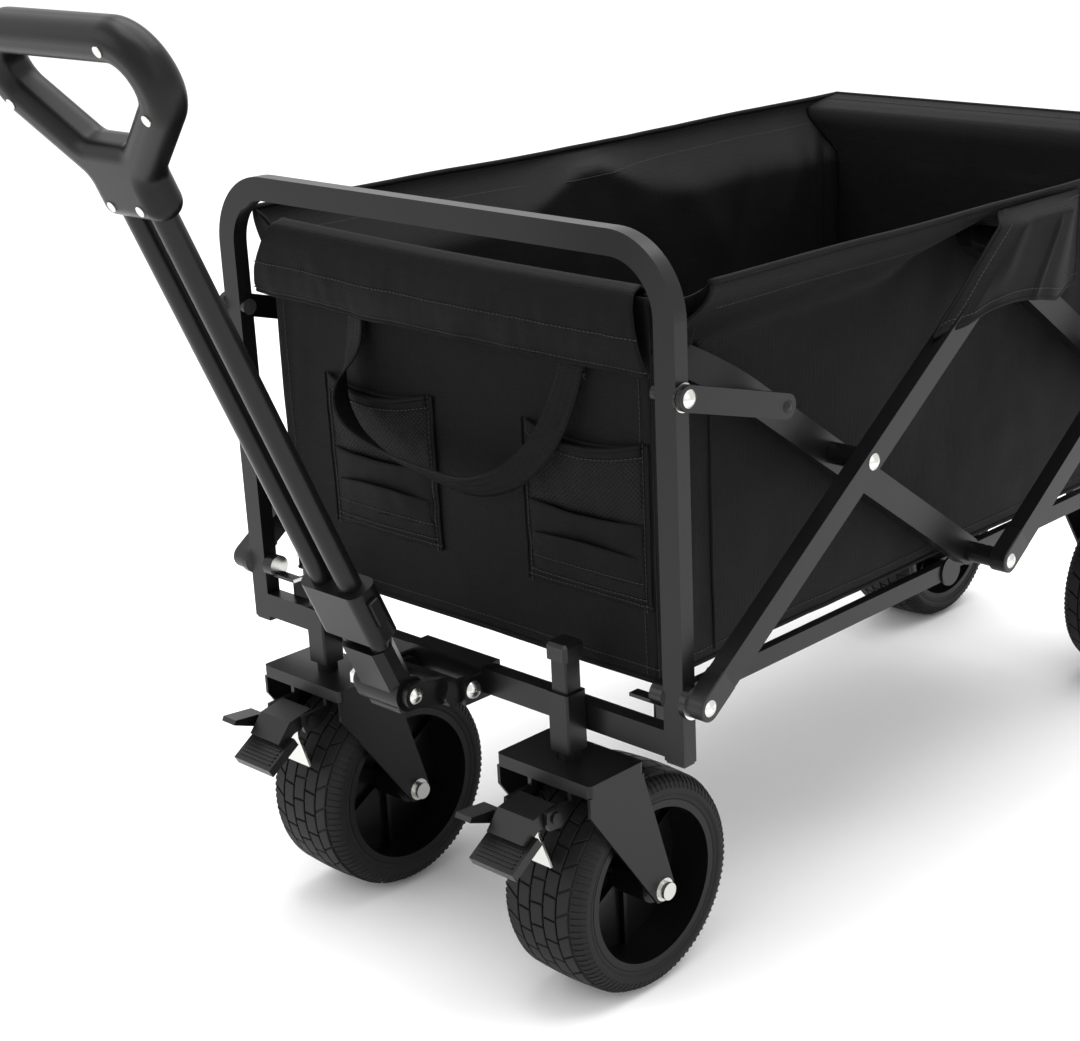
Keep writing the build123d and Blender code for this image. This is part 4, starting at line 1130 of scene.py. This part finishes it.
class WAGON_OT_strap(bpy.types.Operator):
    """Webbing carry strap sewn under the hem"""

    bl_idname = "wagon.strap"
    bl_label = "Carry strap"

    def execute(self, context):
        keys = smooth_path(STRAP_PATH, STRAP_STEPS)
        half = STRAP_HALF
        points, maps, faces, runs = [], [], [], 0.0
        edges = ([], [])
        for i, (x, y, z, lean) in enumerate(keys):
            ahead = keys[min(i + 1, STRAP_STEPS)][:3] - keys[max(i - 1, 0)][:3]
            ahead = Vector(ahead).normalized()
            flat = ahead.cross(Vector((0, 1, 0))).normalized()
            turn = math.radians(lean)
            wide = (flat * math.cos(turn) + Vector((0, -1, 0)) * math.sin(turn)).normalized()
            centre = Vector((x, y - half * 0.8 * math.sin(turn), z))
            if i:
                runs += (Vector(keys[i][:3]) - Vector(keys[i - 1][:3])).length
            for k in range(STRAP_ACROSS):
                off = (k / 3 - 1) * half
                points.append(at(*(centre + wide * off)))
                maps.append((off * MM, runs * MM))
            for side, edge in zip((-1, 1), edges):
                edge.append(at(*(centre + wide * side * (half - 2.4) - Vector((0, 1.1, 0)))))
        for i in range(STRAP_STEPS):
            for k in range(STRAP_ACROSS - 1):
                a = i * STRAP_ACROSS + k
                faces.append((a, a + 1, a + STRAP_ACROSS + 1, a + STRAP_ACROSS))
        strap = new_piece("carry_strap_webbing", points, faces, LOOKS["webbing"], maps)
        solid = strap.modifiers.new("thickness", "SOLIDIFY")
        solid.thickness = 0.0016
        solid.offset = 0
        strap = baked(strap)
        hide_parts("carry_strap")
        carried(strap, "front_frame")
        boxes = []
        for end in (0, STRAP_STEPS):
            x, y, z = keys[end][:3]
            corners = [(-9, 0), (9, 0), (9, -19), (-9, -19), (-9, 0), (9, -19)]
            boxes.append([at(x + a, y - 1.6, z - 3 + b) for a, b in corners])
        thread = stitched("strap_stitches", boxes)
        carried(thread, "front_frame")
        return {"FINISHED"}


HOOD_TOP_FROM, HOOD_TOP_LONG = -8, 128
HOOD_HEM_FROM, HOOD_HEM_LONG, HOOD_DROP = -114, 231, 91


def sleeve_shape(side):
    """Cloth hood over the top ends of the outer arms, hanging from the rim like a small tent."""
    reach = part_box("outer_front_arms")[1].x / MM + 4.0

    def shape(u, v):
        top = Vector((RIM_X - 0.5, MIDDLE_Y + HOOD_TOP_FROM + HOOD_TOP_LONG * u, RIM_Z - 6))
        low_z = RIM_Z - HOOD_DROP + 13 * math.sin(math.pi * min(1.0, u * 1.35)) + 2 * u
        low = Vector((RIM_X - 1, MIDDLE_Y + HOOD_HEM_FROM + HOOD_HEM_LONG * u, low_z))
        p = top.lerp(low, v)
        stand = (0.45 + 0.55 * soft_step(u, 0.0, 0.14)) * (1 - soft_step(u, 0.66, 1.0))
        p.x += (reach - RIM_X) * stand * soft_step(v, 0.0, 0.13)
        p.x += 2.4 * math.exp(-(((u - 0.56) / 0.018) ** 2)) * soft_step(v, 0.1, 0.3)
        p.x += 3.0 * crease(u, v, (0.12, 0.05), (0.3, 1.0), 0.07)
        p.x += 0.9 * drift(p.y, p.z, 20 + side, 22) * v
        return side * p.x, p.y, p.z

    return shape


class WAGON_OT_sleeves(bpy.types.Operator):
    """Cloth hoods over the outer arms' top ends"""

    bl_idname = "wagon.sleeves"
    bl_label = "Arm sleeves"

    def execute(self, context):
        for name, side in SIDES:
            shape = sleeve_shape(side)
            hood = cloth_grid("arm_sleeve_" + name, 80, 40, shape, (180, 100), thickness=0.0018)
            hem = tube_along("arm_sleeve_hem_" + name, line_on(shape, 60, v=1.0), 0.0019, LOOKS["canvas"])
            edges = [
                tube_along(f"arm_sleeve_edge_{name}", line_on(shape, 40, u=u), 0.0015, LOOKS["canvas"])
                for u in (0.0, 1.0)
            ]
            hood = joined([hood, hem, *edges], "arm_sleeve_" + name)
            out = (side * 1.2, 0, 0)
            lines = [
                line_on(shape, 80, v=0.9, lift=out), line_on(shape, 60, u=0.06, lift=out),
                line_on(shape, 80, v=0.06, lift=out),
            ]
            thread = stitched("sleeve_stitches_" + name, lines)
            for piece in (hood, thread):
                carried(piece, "outer_front")
        return {"FINISHED"}


# ---------------------------------------------------------------- frame, plastic and bolts
ARM_DEEP, ARM_WIDE, CAP_REACH, ARM_TILT = 15.0, 21.0, 27.0, 34.8
LOW_Z = BASE_Z + 2.0


def end_cap(name, side, pivot, tilt, body):
    """Moulded cap over an outer arm's low end: a round nose and a straight sleeve with a lip."""
    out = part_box("outer_front_arms")[1].x / MM + 0.5
    inner = out - ARM_DEEP - 1.0
    half = ARM_WIDE / 2 + 0.7
    turn = math.radians(tilt)
    outline = []
    for k in range(13):
        a = math.pi / 2 + math.pi * k / 12
        outline.append((half * math.cos(a), half * math.sin(a)))
    outline += [(CAP_REACH, -half), (CAP_REACH, half)]
    rows = ((inner, 0.0), (inner, 0.6), (out - 0.9, 0.6), (out, -0.5), (out, -2.2))
    points, faces = [], []
    for x, grow in rows:
        for along, across in outline:
            scale = (half + grow - 0.6) / half
            a, b = along * scale if along < CAP_REACH else along, across * scale
            y = pivot[0] + a * math.cos(turn) - b * math.sin(turn)
            z = pivot[1] + a * math.sin(turn) + b * math.cos(turn)
            points.append(at(side * x, y, z))
    count = len(outline)
    for i in range(len(rows) - 1):
        for k in range(count):
            a, b = i * count + k, i * count + (k + 1) % count
            faces.append((a, b, b + count, a + count))
    faces.append(tuple(range(count))[::-1])
    faces.append(tuple((len(rows) - 1) * count + k for k in range(count)))
    cap = faced_out(new_piece(name, points, faces, LOOKS["cap_plastic"], smooth=False))
    carried(cap, body)


class WAGON_OT_arm_caps(bpy.types.Operator):
    """Moulded caps on the outer arms' low ends"""

    bl_idname = "wagon.arm_caps"
    bl_label = "Arm caps"

    def execute(self, context):
        for name, side in SIDES:
            end_cap("front_arm_cap_" + name, side, (7.5, LOW_Z), ARM_TILT, "outer_front")
            end_cap("middle_arm_cap_" + name, side, (MIDDLE_Y, LOW_Z), ARM_TILT, "outer_rear")
        return {"FINISHED"}


class WAGON_OT_finishes(bpy.types.Operator):
    """Finishes on the frame, wheels, brakes, handle and bolts"""

    bl_idname = "wagon.finishes"
    bl_label = "Finishes"

    def execute(self, context):
        make_looks()
        for part in frame["record"]["subparts"]:
            node = frame["nodes"][part["node"]]
            node.data.materials.clear()
            is_pivot = part["node"].endswith("_bolts")
            node.data.materials.append(LOOKS["pivot" if is_pivot else part["material_slot"]])
        return {"FINISHED"}


# ---------------------------------------------------------------- stage
CAMERA_TURN, CAMERA_RISE, CAMERA_ROLL = 42.82, 20.40, -1.82
CAMERA_SPOT = (1228.8, -1092.6, 933.0)
CAMERA_LENS = 70.57
CAMERA_SHIFT = (-0.0893, 0.0563)
FLOOR_HALF = 14.0
LAMPS = (
    ("overhead", (0.2, 0.4, 3.2), (0, 0.2, 0.3), 3.2, 1.0),
    ("front", (-1.6, -3.4, 1.9), (0, 0, 0.4), 2.4, 0.2),
    ("near_side", (3.4, -0.6, 1.6), (0, 0.1, 0.35), 2.4, 0.1),
)


class WAGON_OT_stage(bpy.types.Operator):
    """Pale floor, soft light and the camera"""

    bl_idname = "wagon.stage"
    bl_label = "Stage"

    def execute(self, context):
        scene = context.scene
        stage = settings("stage")
        # Matt pale sheet: a plain floor that holds a soft shadow.
        paper = grain_material("pale_floor", stage.floor, {"Roughness": 0.9}, 0.01, 0.00001, 0.01)
        size = FLOOR_HALF
        floor = new_piece(
            "floor", [(-size, -size, 0), (size, -size, 0), (size, size, 0), (-size, size, 0)],
            [(0, 1, 2, 3)], paper,
        )
        world = bpy.data.worlds.new("studio")
        world.use_nodes = True
        even = world.node_tree.nodes["Background"].inputs
        even["Color"].default_value = (1, 1, 1, 1)
        even["Strength"].default_value = stage.sky
        scene.world = world
        for name, spot, aim, width, share in LAMPS:
            data = bpy.data.lights.new(name, "AREA")
            data.shape = "SQUARE"
            data.size = width
            data.energy = stage.key * share
            lamp = bpy.data.objects.new(name, data)
            lamp.location = spot
            lamp.rotation_euler = (Vector(aim) - Vector(spot)).to_track_quat("-Z", "Y").to_euler()
            scene.collection.objects.link(lamp)
        az, el, roll = (math.radians(v) for v in (CAMERA_TURN, CAMERA_RISE, CAMERA_ROLL))
        back = Vector((math.sin(az) * math.cos(el), -math.cos(az) * math.cos(el), math.sin(el)))
        right = Vector((math.cos(az), math.sin(az), 0))
        up = back.cross(right)
        across = math.cos(roll) * right + math.sin(roll) * up
        rise = math.cos(roll) * up - math.sin(roll) * right
        data = bpy.data.cameras.new("camera")
        data.lens = CAMERA_LENS
        data.sensor_width = 36.0
        data.shift_x, data.shift_y = CAMERA_SHIFT
        data.clip_end = 60
        camera = bpy.data.objects.new("camera", data)
        turn = Matrix((across, rise, back)).transposed().to_4x4()
        camera.matrix_world = Matrix.Translation(at(*CAMERA_SPOT)) @ turn
        scene.collection.objects.link(camera)
        scene.camera = camera
        scene.view_settings.view_transform = "Standard"
        return {"FINISHED"}


# ---------------------------------------------------------------- panel and run
STEPS = (
    WAGON_OT_stage, WAGON_OT_finishes, WAGON_OT_tyres, WAGON_OT_front_cloth, WAGON_OT_side_cloth,
    WAGON_OT_rear_cloth, WAGON_OT_pockets, WAGON_OT_strap, WAGON_OT_sleeves, WAGON_OT_arm_caps,
)
GROUPS = (("cloth", WagonCloth), ("wheels", WagonWheels), ("finish", WagonFinish), ("stage", WagonStage))


class WAGON_PT_panel(bpy.types.Panel):
    """Lists the wagon's settings and steps"""

    bl_idname = "WAGON_PT_panel"
    bl_label = "Camp wagon"
    bl_space_type = "VIEW_3D"
    bl_region_type = "UI"
    bl_category = "Wagon"

    def draw(self, context):
        for name, group in GROUPS:
            box = self.layout.box()
            held = getattr(context.scene, "wagon_" + name)
            for field in group.__annotations__:
                box.prop(held, field)
        for step in STEPS:
            self.layout.operator(step.bl_idname)


def register():
    """Adds the wagon's settings, steps and panel."""
    for name, group in GROUPS:
        bpy.utils.register_class(group)
        setattr(bpy.types.Scene, "wagon_" + name, bpy.props.PointerProperty(type=group))
    for made in (*STEPS, WAGON_PT_panel):
        bpy.utils.register_class(made)


def unregister():
    """Takes them away again."""
    for made in reversed((*STEPS, WAGON_PT_panel)):
        bpy.utils.unregister_class(made)
    for name, group in reversed(GROUPS):
        delattr(bpy.types.Scene, "wagon_" + name)
        bpy.utils.unregister_class(group)


def main():
    """Builds the wagon."""
    register()
    for step in STEPS:
        group, name = step.bl_idname.split(".")
        getattr(getattr(bpy.ops, group), name)()


if __name__ == "__main__":
    main()
